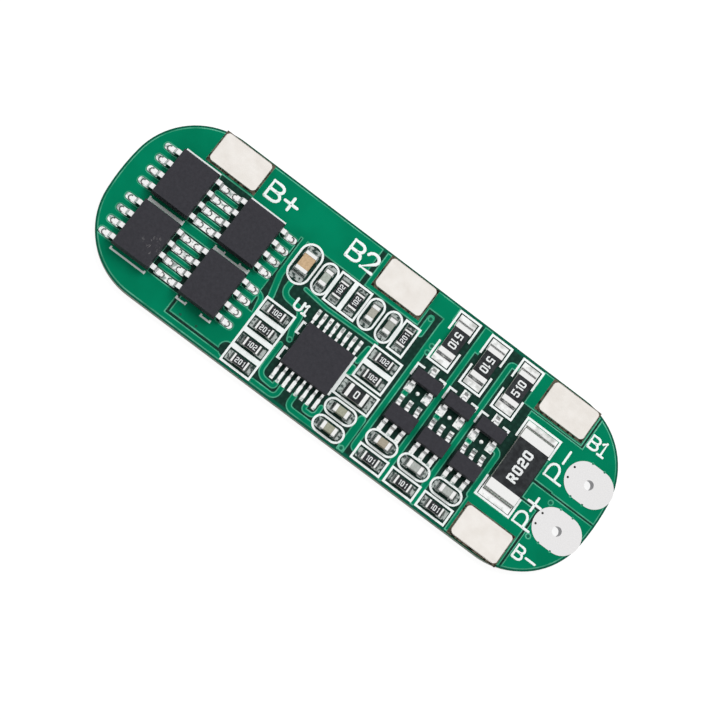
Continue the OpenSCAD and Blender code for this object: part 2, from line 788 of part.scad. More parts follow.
// One gull-wing lead that runs from the body's side towards +Y
module gull_lead(body_w, h, span, lead_w, lead_t, shoulder) {
    r = 0.6 * lead_t;
    start = body_w / 2;
    tip = span / 2;
    riser = start + shoulder;
    high = standoff + h * belt_share + lead_t / 2;
    translate([-lead_w / 2, 0, z_land]) rotate([90, 0, 90]) linear_extrude(lead_w) {
        translate([start, high - lead_t]) square([riser - r - start, lead_t]);
        translate([riser - r, high - lead_t - r]) bend_2d(r, lead_t, 0);
        translate([riser, lead_t + r]) square([lead_t, high - 2 * lead_t - 2 * r]);
        translate([riser + lead_t + r, lead_t + r]) bend_2d(r, lead_t, 180);
        translate([riser + lead_t + r, 0]) square([tip - riser - lead_t - r, lead_t]);
    }
}

// Resistor that lies along X: a plain block between its metal ends
module resistor_body(l, w, h) {
    translate([0, w / 2, z_land]) rotate([90, 0, 0]) linear_extrude(w)
        translate([0, h / 2]) square([l - 2 * end_t, h - 2 * end_t], center = true);
}

// Metal folded over a resistor's two ends, top and bottom
module resistor_ends(l, w, h, wrap) {
    translate([0, w / 2, z_land]) rotate([90, 0, 0]) linear_extrude(w) translate([0, h / 2]) difference() {
        rounded_2d(l, h, res_r);
        square([l - 2 * end_t, h - 2 * end_t], center = true);
        square([l - 2 * wrap, h + 1], center = true);
    }
}

// Ceramic block of a capacitor that lies along X
module capacitor_body(l, w, h) {
    translate([0, 0, z_land + end_t])
        soft_block(l - 2 * end_t, w - 2 * end_t, h - 2 * end_t, cap_r - end_t);
}

// Metal cups over a capacitor's two ends
module capacitor_ends(l, w, h, wrap) {
    difference() {
        translate([0, 0, z_land]) soft_block(l, w, h, cap_r);
        capacitor_body(l, w, h);
        translate([0, 0, z_land]) cube([l - 2 * wrap, 2 * w, 3 * h], center = true);
    }
}

// Hollow fillet of solder of radius r against the end face of a chip at x = 0, its length along Y
module fillet(r, w) {
    translate([0, w / 2, 0]) rotate([90, 0, 0]) linear_extrude(w) difference() {
        square(r);
        translate([r, r]) circle(r);
    }
}

// Fillets at both ends of a chip that lies along X
module chip_fillets(l, w, r) {
    for (side = [0, 1]) mirror([side, 0, 0]) translate([l / 2, 0, z_land]) fillet(r, w);
}

// Wedge of solder in front of a lead's tip, towards +Y
module toe_wedge(span, lead_w, lead_t, run) {
    translate([-lead_w / 2, span / 2, z_land]) rotate([90, 0, 90]) linear_extrude(lead_w)
        polygon([[0, 0], [run, 0], [0, lead_t]]);
}

// Low bead of solder round a lead's tip, towards +Y
module toe_bead(span, lead_w, lead_t) {
    ball_r = (bead_base_r * bead_base_r + bead_h * bead_h) / (2 * bead_h);
    past_tip = 0.08;
    translate([0, span / 2 + past_tip, z_land]) difference() {
        intersection() {
            translate([0, 0, bead_h - ball_r]) sphere(ball_r);
            translate([-ball_r, -ball_r, 0]) cube(2 * ball_r);
        }
        translate([-lead_w / 2, -past_tip - ball_r, -1]) cube([lead_w, ball_r, lead_t + 1]);
    }
}

// ---------- Sub-parts ----------

// Laminate with its mask, drilled for the two wires and their vias
module board() {
    color("#12523d") difference() {
        linear_extrude(board_t) outline_2d();
        at_wire_pads() {
            translate([0, 0, -1]) cylinder(d = wire_hole_d + 2 * plating_t, h = board_t + 2);
            translate([0, 0, -1]) cylinder(d = wire_ring_d, h = land_t + 1);
            at_wire_vias() translate([0, 0, -1]) cylinder(d = via_d, h = board_t + 2, $fn = 24);
        }
    }
}

// Copper areas and tracks, seen as lighter green through the mask
module masked_copper() {
    color("#0a8a5c") translate([0, 0, board_t]) linear_extrude(copper_t) difference() {
        copper_2d();
        all_lands_2d();
        print_2d();
        ring_insides_2d();
        at_wire_pads() at_wire_vias() circle(d = via_d, $fn = 24);
    }
}

module printed_outlines() {
    color("white") translate([0, 0, board_t]) linear_extrude(copper_t + print_t) print_2d();
}

// Tinned pad, plated barrel and back ring in one piece, with the wire hole through it
module wire_pad(side) {
    color("gainsboro") translate([wire_x, side * wire_y, 0]) difference() {
        union() {
            translate([0, 0, board_t]) linear_extrude(wire_pad_t) wire_pad_2d();
            cylinder(d = wire_hole_d + 2 * plating_t, h = board_t + wire_pad_t);
            cylinder(d = wire_ring_d, h = land_t);
        }
        translate([0, 0, -1]) cylinder(d = wire_hole_d, h = board_t + wire_pad_t + 2);
        translate([0, 0, board_t - 1]) at_wire_vias() cylinder(d = via_d, h = 2, $fn = 24);
    }
}
module wire_pad_p_plus() wire_pad(-1);
module wire_pad_p_minus() wire_pad(1);

module tab_lands() {
    color("silver") translate([0, 0, board_t]) linear_extrude(land_t) tab_lands_2d();
}

module tab(index) {
    color("lightgray") translate([tab_places[index][0], tab_places[index][1], z_land])
        soft_block(tab_l, tab_w, tab_t, 0.08, tab_r);
}
module tab_b_plus() tab(0);
module tab_b2() tab(1);
module tab_b1() tab(2);
module tab_b_minus() tab(3);

module power_fet(index) {
    color("#343338") translate(fet_places[index]) rotate(90) moulded_body(fet_l, fet_w, fet_h, fet_lead_t);
}
module power_fet_leads(index) {
    color("silver") translate(fet_places[index]) for (side = [90, 270]) rotate(side)
        for (x = mirrored(4, fet_lead_pitch)) translate([x, 0, 0])
            gull_lead(fet_w, fet_h, fet_span, fet_lead_w, fet_lead_t, fet_shoulder);
}
module power_fet_solder() {
    color("silver") {
        translate([0, 0, board_t]) linear_extrude(land_t) fet_lands_2d();
        for (place = fet_places) translate(place) for (side = [90, 270]) rotate(side)
            for (x = mirrored(4, fet_lead_pitch)) translate([x, 0, 0])
                toe_bead(fet_span, fet_lead_w, fet_lead_t);
    }
}
module power_fet_1() power_fet(0);
module power_fet_2() power_fet(1);
module power_fet_3() power_fet(2);
module power_fet_4() power_fet(3);
module power_fet_leads_1() power_fet_leads(0);
module power_fet_leads_2() power_fet_leads(1);
module power_fet_leads_3() power_fet_leads(2);
module power_fet_leads_4() power_fet_leads(3);

module monitor_chip() {
    color("#37373a") translate([mon_x, mon_y]) moulded_body(mon_l, mon_w, mon_h, mon_lead_t);
}
module monitor_chip_leads() {
    color("silver") translate([mon_x, mon_y]) for (side = [0, 180]) rotate(side)
        for (x = mirrored(8, mon_lead_pitch)) translate([x, 0, 0])
            gull_lead(mon_w, mon_h, mon_span, mon_lead_w, mon_lead_t, mon_shoulder);
}
module monitor_chip_solder() {
    color("silver") {
        translate([0, 0, board_t]) linear_extrude(land_t) monitor_lands_2d();
        translate([mon_x, mon_y]) for (side = [0, 180]) rotate(side)
            for (x = mirrored(8, mon_lead_pitch)) translate([x, 0, 0])
                toe_wedge(mon_span, mon_lead_w, mon_lead_t, 0.3);
    }
}

// Three-lead transistor that drains its cell: one lead up, two down
module balance_switch(index) {
    color("#2b2b2e") translate([cell_x[index], sot_y]) moulded_body(sot_l, sot_w, sot_h, sot_lead_t);
}
module switch_leads(index) {
    color("silver") translate([cell_x[index], sot_y]) {
        gull_lead(sot_w, sot_h, sot_span, sot_lead_w, sot_lead_t, sot_shoulder);
        rotate(180) for (x = mirrored(2, 2 * sot_lead_pitch)) translate([x, 0, 0])
            gull_lead(sot_w, sot_h, sot_span, sot_lead_w, sot_lead_t, sot_shoulder);
    }
}
module balance_switch_1() balance_switch(0);
module balance_switch_2() balance_switch(1);
module balance_switch_3() balance_switch(2);
module balance_switch_leads_1() switch_leads(0);
module balance_switch_leads_2() switch_leads(1);
module balance_switch_leads_3() switch_leads(2);

// Six-lead voltage detector of a cell
module detector(index) {
    color("#2b2b2e") translate([cell_x[index], det_y]) moulded_body(sot_l, det_w, sot_h, sot_lead_t);
}
module detector_leads(index) {
    color("silver") translate([cell_x[index], det_y]) for (side = [0, 180]) rotate(side)
        for (x = mirrored(3, sot_lead_pitch)) translate([x, 0, 0])
            gull_lead(det_w, sot_h, det_span, sot_lead_w, sot_lead_t, det_shoulder);
}
module detector_1() detector(0);
module detector_2() detector(1);
module detector_3() detector(2);
module detector_leads_1() detector_leads(0);
module detector_leads_2() detector_leads(1);
module detector_leads_3() detector_leads(2);

module cell_stage_solder() {
    color("silver") {
        translate([0, 0, board_t]) linear_extrude(land_t) cell_lands_2d();
        at_cells() {
            translate([0, sot_y]) {
                toe_wedge(sot_span, sot_lead_w, sot_lead_t, 0.3);
                rotate(180) for (x = mirrored(2, 2 * sot_lead_pitch)) translate([x, 0, 0])
                    toe_wedge(sot_span, sot_lead_w, sot_lead_t, 0.3);
            }
            translate([0, det_y]) for (side = [0, 180]) rotate(side)
                for (x = mirrored(3, sot_lead_pitch)) translate([x, 0, 0])
                    toe_wedge(det_span, sot_lead_w, sot_lead_t, 0.3);
        }
    }
}

module bleed_resistor(index) {
    color("#26241f") translate([cell_x[index] + bleed_dx, bleed_y]) rotate(90)
        resistor_body(bleed_l, bleed_w, bleed_h);
}
module bleed_resistor_1() bleed_resistor(0);
module bleed_resistor_2() bleed_resistor(1);
module bleed_resistor_3() bleed_resistor(2);
module bleed_resistor_ends() {
    color("gainsboro") at_cells() translate([bleed_dx, bleed_y]) rotate(90)
        resistor_ends(bleed_l, bleed_w, bleed_h, bleed_wrap);
}
module bleed_resistor_solder() {
    color("silver") {
        translate([0, 0, board_t]) linear_extrude(land_t) bleed_lands_2d();
        at_cells() translate([bleed_dx, bleed_y]) rotate(90) chip_fillets(bleed_l, bleed_w, 0.42);
    }
}

module shunt_resistor() {
    color("#26241f") translate([shunt_x, 0]) rotate(90) resistor_body(shunt_l, shunt_w, shunt_h);
}
module shunt_resistor_ends() {
    color("gainsboro") translate([shunt_x, 0]) rotate(90)
        resistor_ends(shunt_l, shunt_w, shunt_h, shunt_wrap);
}
module shunt_resistor_solder() {
    color("silver") {
        translate([0, 0, board_t]) linear_extrude(land_t) shunt_lands_2d();
        translate([shunt_x, 0]) rotate(90) chip_fillets(shunt_l, shunt_w, 0.5);
    }
}

// Small resistors and capacitors, each bank in its own place
module small_resistor() resistor_body(chip_l, chip_w, res_h);
module small_resistor_ends() resistor_ends(chip_l, chip_w, res_h, chip_wrap);
module small_capacitor() capacitor_body(chip_l, chip_w, cap_h);
module small_capacitor_ends() capacitor_ends(chip_l, chip_w, cap_h, cap_wrap);

module filter_capacitor() {
    color("#b9814f") at_row_chips([filter_x]) capacitor_body(big_chip_l, big_chip_w, big_cap_h);
}
module filter_capacitor_ends() {
    color("gainsboro") at_row_chips([filter_x])
        capacitor_ends(big_chip_l, big_chip_w, big_cap_h, cap_wrap);
}
module row_resistors() { color("#2a2a2c") at_row_chips(row_res_x) small_resistor(); }
module row_resistor_ends() { color("gainsboro") at_row_chips(row_res_x) small_resistor_ends(); }
module row_capacitors() { color("#aca796") at_row_chips(row_cap_x) small_capacitor(); }
module row_capacitor_ends() { color("gainsboro") at_row_chips(row_cap_x) small_capacitor_ends(); }
module gate_resistors() { color("#2a2a2c") at_gate_chips() small_resistor(); }
module gate_resistor_ends() { color("gainsboro") at_gate_chips() small_resistor_ends(); }
module sense_resistors() {
    color("#2a2a2c") {
        at_sense_chips() small_resistor();
        translate([link_x, link_y]) resistor_body(big_chip_l, big_chip_w, big_res_h);
    }
}
module sense_resistor_ends() {
    color("gainsboro") {
        at_sense_chips() small_resistor_ends();
        translate([link_x, link_y]) resistor_ends(big_chip_l, big_chip_w, big_res_h, cap_wrap);
    }
}
module corner_capacitors() { color("#a79a7b") at_corner_caps() small_capacitor(); }
module corner_capacitor_ends() { color("gainsboro") at_corner_caps() small_capacitor_ends(); }
module cell_capacitors() { color("#a9a398") at_cells() translate([0, cell_cap_y]) small_capacitor(); }
module cell_capacitor_ends() {
    color("gainsboro") at_cells() translate([0, cell_cap_y]) small_capacitor_ends();
}
module cell_resistors() { color("#2a2a2c") at_cells() translate([0, cell_res_y]) small_resistor(); }
module cell_resistor_ends() {
    color("gainsboro") at_cells() translate([0, cell_res_y]) small_resistor_ends();
}

module small_chip_solder() {
    fillet_r = 0.32;
    color("silver") {
        translate([0, 0, board_t]) linear_extrude(land_t) small_chip_lands_2d();
        at_row_chips(concat(row_res_x, row_cap_x)) chip_fillets(chip_l, chip_w, fillet_r);
        at_row_chips([filter_x]) chip_fillets(big_chip_l, big_chip_w, fillet_r);
        at_gate_chips() chip_fillets(chip_l, chip_w, fillet_r);
        at_sense_chips() chip_fillets(chip_l, chip_w, fillet_r);
        translate([link_x, link_y]) chip_fillets(big_chip_l, big_chip_w, fillet_r);
        at_corner_caps() chip_fillets(chip_l, chip_w, fillet_r);
        at_cells() for (y = [cell_cap_y, cell_res_y])
            translate([0, y]) chip_fillets(chip_l, chip_w, fillet_r);
    }
}

board();
masked_copper();
printed_outlines();
wire_pad_p_plus();
wire_pad_p_minus();
tab_lands();
tab_b_plus();
tab_b2();
tab_b1();
tab_b_minus();
power_fet_1();
power_fet_2();
power_fet_3();
power_fet_4();
power_fet_leads_1();
power_fet_leads_2();
power_fet_leads_3();
power_fet_leads_4();
power_fet_solder();
monitor_chip();
monitor_chip_leads();
monitor_chip_solder();
balance_switch_1();
balance_switch_2();
balance_switch_3();
balance_switch_leads_1();
balance_switch_leads_2();
balance_switch_leads_3();
detector_1();
detector_2();
detector_3();
detector_leads_1();
detector_leads_2();
detector_leads_3();
cell_stage_solder();
bleed_resistor_1();
bleed_resistor_2();
bleed_resistor_3();
bleed_resistor_ends();
bleed_resistor_solder();
shunt_resistor();
shunt_resistor_ends();
shunt_resistor_solder();
filter_capacitor();
filter_capacitor_ends();
row_resistors();
row_resistor_ends();
row_capacitors();
row_capacitor_ends();
gate_resistors();
gate_resistor_ends();
sense_resistors();
sense_resistor_ends();
corner_capacitors();
corner_capacitor_ends();
cell_capacitors();
cell_capacitor_ends();
cell_resistors();
cell_resistor_ends();
small_chip_solder();
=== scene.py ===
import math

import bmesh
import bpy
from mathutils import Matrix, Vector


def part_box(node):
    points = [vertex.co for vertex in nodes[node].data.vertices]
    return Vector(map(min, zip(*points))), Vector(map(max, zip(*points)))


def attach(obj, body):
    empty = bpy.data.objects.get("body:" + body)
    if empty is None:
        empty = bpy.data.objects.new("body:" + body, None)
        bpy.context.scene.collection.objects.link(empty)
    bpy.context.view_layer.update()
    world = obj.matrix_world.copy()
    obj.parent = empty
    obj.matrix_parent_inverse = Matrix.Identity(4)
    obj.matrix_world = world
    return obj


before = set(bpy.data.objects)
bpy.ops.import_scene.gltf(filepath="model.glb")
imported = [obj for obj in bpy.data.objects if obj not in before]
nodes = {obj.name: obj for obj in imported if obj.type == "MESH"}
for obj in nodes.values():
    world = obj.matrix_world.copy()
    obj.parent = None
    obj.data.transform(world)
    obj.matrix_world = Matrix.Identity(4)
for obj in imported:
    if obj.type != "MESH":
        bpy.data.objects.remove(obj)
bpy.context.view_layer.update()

# %% [markdown]
# # A battery management board, dressed in Blender
# The solids of this small circuit board come from its CAD model, already in place and to size.
# This lesson gives them their finishes, prints the labels on them, and sets up a plain studio.
# Sizes below are written in millimetres and turned into Blender's metres where a mesh is made.

MM = 0.001
print("CAD nodes:", len(nodes))

# %% [markdown]
# ## The heights that everything printed sits on
# A label is a thin film of ink, so each one needs the exact height of the surface under it.
# Those heights are read off the CAD nodes and never guessed.

# %% Heights of the printed surfaces, in mm
board_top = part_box("board")[1].z / MM
copper_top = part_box("masked_copper")[1].z / MM
shunt_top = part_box("shunt_resistor")[1].z / MM
bleed_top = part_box("bleed_resistor_1")[1].z / MM
chip_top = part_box("row_resistors")[1].z / MM
print("laminate and masked copper end at", round(board_top, 3), "and", round(copper_top, 3), "mm")
print("chips end at", round(chip_top, 3), round(bleed_top, 3), round(shunt_top, 3), "mm")

# %% [markdown]
# ## The camera
# A small board is usually shown from almost straight above, turned so that it fills a square frame
# from corner to corner. The camera is placed by readable values: the spot it looks at, its compass direction,
# its height angle, its roll and its distance. A long lens keeps the board's far end almost as large as its near end.

# %% Camera, placed by target, direction, distance and roll
LOOK_AT = Vector((0.57, -0.87, 1.0)) * MM
CAMERA_AZIMUTH = math.radians(-105.14)
CAMERA_ELEVATION = math.radians(79.21)
CAMERA_ROLL = math.radians(51.93)
CAMERA_DISTANCE = 140.4 * MM

camera_data = bpy.data.cameras.new("camera")
camera_data.lens = 80
camera_data.sensor_width = 36
camera_data.clip_start = 0.01
camera_data.clip_end = 10
camera = bpy.data.objects.new("camera", camera_data)
bpy.context.scene.collection.objects.link(camera)
towards_camera = Vector((
    math.cos(CAMERA_ELEVATION) * math.cos(CAMERA_AZIMUTH),
    math.cos(CAMERA_ELEVATION) * math.sin(CAMERA_AZIMUTH),
    math.sin(CAMERA_ELEVATION),
))
level = (-towards_camera).to_track_quat("-Z", "Y").to_matrix()
rolled = level @ Matrix.Rotation(CAMERA_ROLL, 3, "Z")
camera.matrix_world = Matrix.Translation(LOOK_AT + towards_camera * CAMERA_DISTANCE) @ rolled.to_4x4()
bpy.context.scene.camera = camera
print("camera stands at", [round(c / MM, 1) for c in camera.location], "mm")

# %% [markdown]
# ## The studio
# One large soft lamp stands behind the board, so each package throws a short soft shadow towards the viewer,
# and a weak one fills in from the left. The rest of the light comes evenly from the world.
# In reflections the world is a wide bright patch overhead in a dark room, because solder only looks like metal
# when it has something light and something dark to mirror: flat tin turns bright, and every slope turns dark.

# %% World: what mirrors see, from the horizon up
world = bpy.data.worlds.new("studio")
bpy.context.scene.world = world
bpy.context.scene.view_settings.view_transform = "Standard"
world.use_nodes = True
sky = world.node_tree
sky.nodes.clear()
# pairs of height (0 at the horizon, 1 overhead) and brightness
MIRRORED_SKY = ((0.0, 0.03), (0.38, 0.08), (0.55, 0.6), (0.7, 1.2), (1.0, 1.3))
direction = sky.nodes.new("ShaderNodeTexCoord")
height = sky.nodes.new("ShaderNodeSeparateXYZ")
sky.links.new(direction.outputs["Generated"], height.inputs[0])
mirror_light = sky.nodes.new("ShaderNodeValToRGB")
stops = mirror_light.color_ramp.elements
stops[0].color = (MIRRORED_SKY[0][1],) * 3 + (1,)
stops[1].color = (MIRRORED_SKY[-1][1],) * 3 + (1,)
for up, light in MIRRORED_SKY[1:-1]:
    stops.new(up).color = (light,) * 3 + (1,)
sky.links.new(height.outputs["Z"], mirror_light.inputs["Fac"])
print("mirrors see a sky of", len(stops), "steps")

# %% World: even light on the board, white behind it
SKY_LIGHT = 0.63
WHITE_BACKDROP = 1.0
path = sky.nodes.new("ShaderNodeLightPath")
seen_in_gloss = sky.nodes.new("ShaderNodeMix")
seen_in_gloss.inputs["A"].default_value = SKY_LIGHT
sky.links.new(path.outputs["Is Glossy Ray"], seen_in_gloss.inputs["Factor"])
sky.links.new(mirror_light.outputs["Color"], seen_in_gloss.inputs["B"])
seen_by_camera = sky.nodes.new("ShaderNodeMix")
seen_by_camera.inputs["B"].default_value = WHITE_BACKDROP
sky.links.new(path.outputs["Is Camera Ray"], seen_by_camera.inputs["Factor"])
sky.links.new(seen_in_gloss.outputs["Result"], seen_by_camera.inputs["A"])
backdrop = sky.nodes.new("ShaderNodeBackground")
sky.links.new(seen_by_camera.outputs["Result"], backdrop.inputs["Strength"])
sky_out = sky.nodes.new("ShaderNodeOutputWorld")
sky.links.new(backdrop.outputs[0], sky_out.inputs["Surface"])
print("sky light", SKY_LIGHT)


# %% Lamps
def add_lamp(name, place_mm, side_mm, watts):
    """Square soft lamp at a place in mm that points at the middle of the board, and that metal doesn't mirror."""
    data = bpy.data.lights.new(name, "AREA")
    data.size = side_mm * MM
    data.energy = watts
    lamp = bpy.data.objects.new(name, data)
    lamp.location = Vector(place_mm) * MM
    lamp.rotation_euler = (-lamp.location).to_track_quat("-Z", "Y").to_euler()
    lamp.visible_glossy = False
    bpy.context.scene.collection.objects.link(lamp)
    print(name, "at", place_mm, "mm with", watts, "W")
    return lamp


add_lamp("key_lamp", (30, 110, 180), 120, 0.27)
add_lamp("left_lamp", (-190, 60, 120), 90, 0.06)

# %% [markdown]
# ## The floor
# The board lies on a sheet of white card.
# A little emission that only the camera and mirrors see lifts the card to white and leaves the shadow on it alone.

# %% Floor
FLOOR_SIDE = 4
FLOOR_GAP = 0.01 * MM
bpy.ops.mesh.primitive_plane_add(size=FLOOR_SIDE, location=(0, 0, -FLOOR_GAP))
floor = bpy.context.object
floor.name = "floor"
print("floor lies", FLOOR_GAP / MM, "mm below the board")

# %% White card, lifted only for the camera and for mirrors
CARD_GREY = 0.2
CARD_LIFT = 0.9
card = bpy.data.materials.new("white_card")
card.use_nodes = True
tree = card.node_tree
paper = tree.nodes["Principled BSDF"]
paper.inputs["Base Color"].default_value = (CARD_GREY, CARD_GREY, CARD_GREY, 1)
paper.inputs["Roughness"].default_value = 0.9
paper.inputs["Specular IOR Level"].default_value = 0.0
paper.inputs["Emission Color"].default_value = (1, 1, 1, 1)
ray = tree.nodes.new("ShaderNodeLightPath")
seen = tree.nodes.new("ShaderNodeMath")
seen.operation = "MAXIMUM"
tree.links.new(ray.outputs["Is Camera Ray"], seen.inputs[0])
tree.links.new(ray.outputs["Is Glossy Ray"], seen.inputs[1])
lift = tree.nodes.new("ShaderNodeMath")
lift.operation = "MULTIPLY"
lift.inputs[1].default_value = CARD_LIFT
tree.links.new(seen.outputs[0], lift.inputs[0])
tree.links.new(lift.outputs[0], paper.inputs["Emission Strength"])
floor.data.materials.append(card)
print("card is", CARD_GREY, "grey with a lift of", CARD_LIFT)

# %% [markdown]
# ## Building blocks for the finishes
# Every finish here is one Principled shader with a few textures plugged in. A few small helpers keep the recipes
# short. The first ones start a finish and plug a value, a colour or another node into a socket.


# %% Helpers that start a finish and fill its sockets
def new_finish(name, colour, roughness, metallic=0.0, specular=0.5):
    """Principled material with its plain values set on the shader's own sockets."""
    material = bpy.data.materials.new(name)
    material.use_nodes = True
    shader = shader_of(material)
    shader.inputs["Base Color"].default_value = (*colour, 1)
    shader.inputs["Roughness"].default_value = roughness
    shader.inputs["Metallic"].default_value = metallic
    shader.inputs["Specular IOR Level"].default_value = specular
    return material


def shader_of(material):
    return material.node_tree.nodes["Principled BSDF"]


def feed(material, socket, value):
    """Links another node's output to a socket, or sets the socket to a number, a vector or a colour."""
    if isinstance(value, bpy.types.NodeSocket):
        material.node_tree.links.new(value, socket)
    elif value is not None:
        is_colour = socket.type == "RGBA"
        socket.default_value = (*value, 1) if is_colour else value


def colour_by(material, colour):
    feed(material, shader_of(material).inputs["Base Color"], colour)


# %% [markdown]
# ## Sums and blends
# Shading nodes are sums on numbers, places and colours. One helper for each kind makes a recipe read like a formula.


# %% Helpers for sums, places and blends
# A Mix node lists its sockets for numbers, places and colours one after the other. These are the colours' own.
MIX_AMOUNT, MIX_COLOUR_A, MIX_COLOUR_B, MIX_COLOUR_OUT = 0, 6, 7, 2


def number(material, operation, first, second=None):
    """Result of a sum on one or two numbers."""
    node = material.node_tree.nodes.new("ShaderNodeMath")
    node.operation = operation
    feed(material, node.inputs[0], first)
    feed(material, node.inputs[1], second)
    return node.outputs[0]


def vector(material, operation, first, second=None):
    """Result of a sum on one or two places. A distance or a length is a number, and the rest are places."""
    node = material.node_tree.nodes.new("ShaderNodeVectorMath")
    node.operation = operation
    feed(material, node.inputs[0], first)
    feed(material, node.inputs[1], second)
    return node.outputs["Value" if operation in ("DISTANCE", "LENGTH") else "Vector"]


def rescale(material, value, start, end, result_start=0.0, result_end=1.0):
    """Number that goes from one result to the other while the value goes from start to end, and holds beyond them."""
    node = material.node_tree.nodes.new("ShaderNodeMapRange")
    node.inputs["From Min"].default_value = start
    node.inputs["From Max"].default_value = end
    feed(material, node.inputs["To Min"], result_start)
    feed(material, node.inputs["To Max"], result_end)
    feed(material, node.inputs["Value"], value)
    return node.outputs["Result"]


def mix(material, amount, colour_a, colour_b, way="MIX"):
    """Colour a where the amount is 0, and colour b where it is 1."""
    node = material.node_tree.nodes.new("ShaderNodeMix")
    node.data_type = "RGBA"
    node.blend_type = way
    feed(material, node.inputs[MIX_AMOUNT], amount)
    feed(material, node.inputs[MIX_COLOUR_A], colour_a)
    feed(material, node.inputs[MIX_COLOUR_B], colour_b)
    return node.outputs[MIX_COLOUR_OUT]


def place_of(material):
    """The shaded point's place on the object, in metres."""
    return material.node_tree.nodes.new("ShaderNodeTexCoord").outputs["Object"]


def along(material, source, axis):
    """One axis of a place or a direction."""
    node = material.node_tree.nodes.new("ShaderNodeSeparateXYZ")
    feed(material, node.inputs[0], source)
    return node.outputs[axis]


def upward(material):
    """How far a face points up: 1 on a top, 0 on a wall and -1 underneath."""
    return along(material, material.node_tree.nodes.new("ShaderNodeNewGeometry").outputs["Normal"], "Z")


# %% [markdown]
# ## Grain and wear
# Noise in several sizes gives a surface its clouds and grain. The same noise can tint it, make it duller in places
# and raise it a few thousandths of a millimetre.


# %% Helpers for grain, tone, dullness and relief
# A Wave texture of scale 1 repeats about every 0.31 units.
WAVE_SCALE = 0.31


def noise(material, grain_mm, detail=3.0, stretch=(1, 1, 1), rough=0.55):
    """Cloudy pattern from 0 to 1 with blobs of about grain_mm, on the object's own coordinates."""
    mapping = material.node_tree.nodes.new("ShaderNodeMapping")
    feed(material, mapping.inputs["Vector"], place_of(material))
    mapping.inputs["Scale"].default_value = stretch
    pattern = material.node_tree.nodes.new("ShaderNodeTexNoise")
    feed(material, pattern.inputs["Vector"], mapping.outputs["Vector"])
    pattern.inputs["Scale"].default_value = 1 / (grain_mm * MM)
    pattern.inputs["Detail"].default_value = detail
    pattern.inputs["Roughness"].default_value = rough
    return pattern.outputs["Fac"]


def waves(material, axis, pitch_mm, distortion, detail_scale=1.0):
    """Soft stripes across one axis, one every pitch_mm."""
    pattern = material.node_tree.nodes.new("ShaderNodeTexWave")
    pattern.bands_direction = axis
    feed(material, pattern.inputs["Vector"], place_of(material))
    pattern.inputs["Scale"].default_value = WAVE_SCALE / (pitch_mm * MM)
    pattern.inputs["Distortion"].default_value = distortion
    pattern.inputs["Detail Scale"].default_value = detail_scale
    return pattern.outputs["Fac"]


def blend_colours(material, amount, colour_a, colour_b, low=0.35, high=0.65):
    """Colour that goes from a to b as the amount rises from low to high."""
    ramp = material.node_tree.nodes.new("ShaderNodeValToRGB")
    start, end = ramp.color_ramp.elements
    start.position, end.position = low, high
    start.color, end.color = (*colour_a, 1), (*colour_b, 1)
    feed(material, ramp.inputs["Fac"], amount)
    return ramp.outputs["Color"]


def vary_roughness(material, pattern, low, high):
    """Roughness that follows a pattern between two values."""
    feed(material, shader_of(material).inputs["Roughness"], rescale(material, pattern, 0, 1, low, high))


def relief(material, pattern, depth_mm, strength=1.0):
    """Bumps of depth_mm where the pattern is light."""
    bump = material.node_tree.nodes.new("ShaderNodeBump")
    bump.inputs["Distance"].default_value = depth_mm * MM
    feed(material, bump.inputs["Strength"], strength)
    feed(material, bump.inputs["Height"], pattern)
    feed(material, shader_of(material).inputs["Normal"], bump.outputs["Normal"])


# %% [markdown]
# ## Finishes on CAD nodes
# A CAD node is never reshaped. It gets its finish through its own material slots, by name.


# %% Helpers that put a finish on CAD nodes
def paint(finish, *names):
    """Gives a finish to CAD nodes through their own material slots."""
    for name in names:
        slots = nodes[name].material_slots
        if not slots:
            nodes[name].data.materials.append(finish)
        for slot in slots:
            slot.material = finish
    print(finish.name, "on", len(names), "nodes")


def nodes_named(*beginnings, without=()):
    """Names of the CAD nodes that begin in one of these ways and hold none of the words in without."""
    return sorted(n for n in nodes if n.startswith(beginnings) and not any(word in n for word in without))


# %% [markdown]
# ## The laminate
# Bare board is woven glass in resin under a clear green mask, so where no copper lies beneath it looks
# almost black-green. Two sets of soft waves, multiplied, give the weave.
# On the routed edge the cut layers of cloth show as fine pale lines.

# %% Laminate: weave under the mask, and cut layers on the edge
WEAVE_PITCH = 0.55
LAYER_PITCH = 0.17
laminate = new_finish("laminate", (0.006, 0.036, 0.024), roughness=0.35, specular=0.08)
warp = waves(laminate, "X", WEAVE_PITCH, distortion=0.4)
weft = waves(laminate, "Y", WEAVE_PITCH, distortion=0.4)
cloth = number(laminate, "MULTIPLY", warp, weft)
face_colour = blend_colours(laminate, cloth, (0.005, 0.029, 0.02), (0.009, 0.043, 0.03), low=0.1, high=0.9)
layers = waves(laminate, "Z", LAYER_PITCH, distortion=1.5, detail_scale=3.0)
edge_colour = blend_colours(laminate, layers, (0.035, 0.07, 0.03), (0.13, 0.17, 0.075), low=0.2, high=0.9)
relief(laminate, cloth, depth_mm=0.004, strength=0.35)
print("weave every", WEAVE_PITCH, "mm and layers every", LAYER_PITCH, "mm")

# %% [markdown]
# ## The back of the board
# The back carries one filled copper area under its mask, cleared in a dark circle round each wire ring.
# The distance to the nearer of the two rings tells where the fill starts.

# %% Laminate: filled back, clear round the wire rings
RING_CLEARANCE = 1.5


def to_middle_of(pad):
    """Distance from the shaded point to the middle of a wire pad, on the back face."""
    low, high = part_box(pad)
    return vector(laminate, "DISTANCE", place_of(laminate), ((low.x + high.x) / 2, (low.y + high.y) / 2, 0))


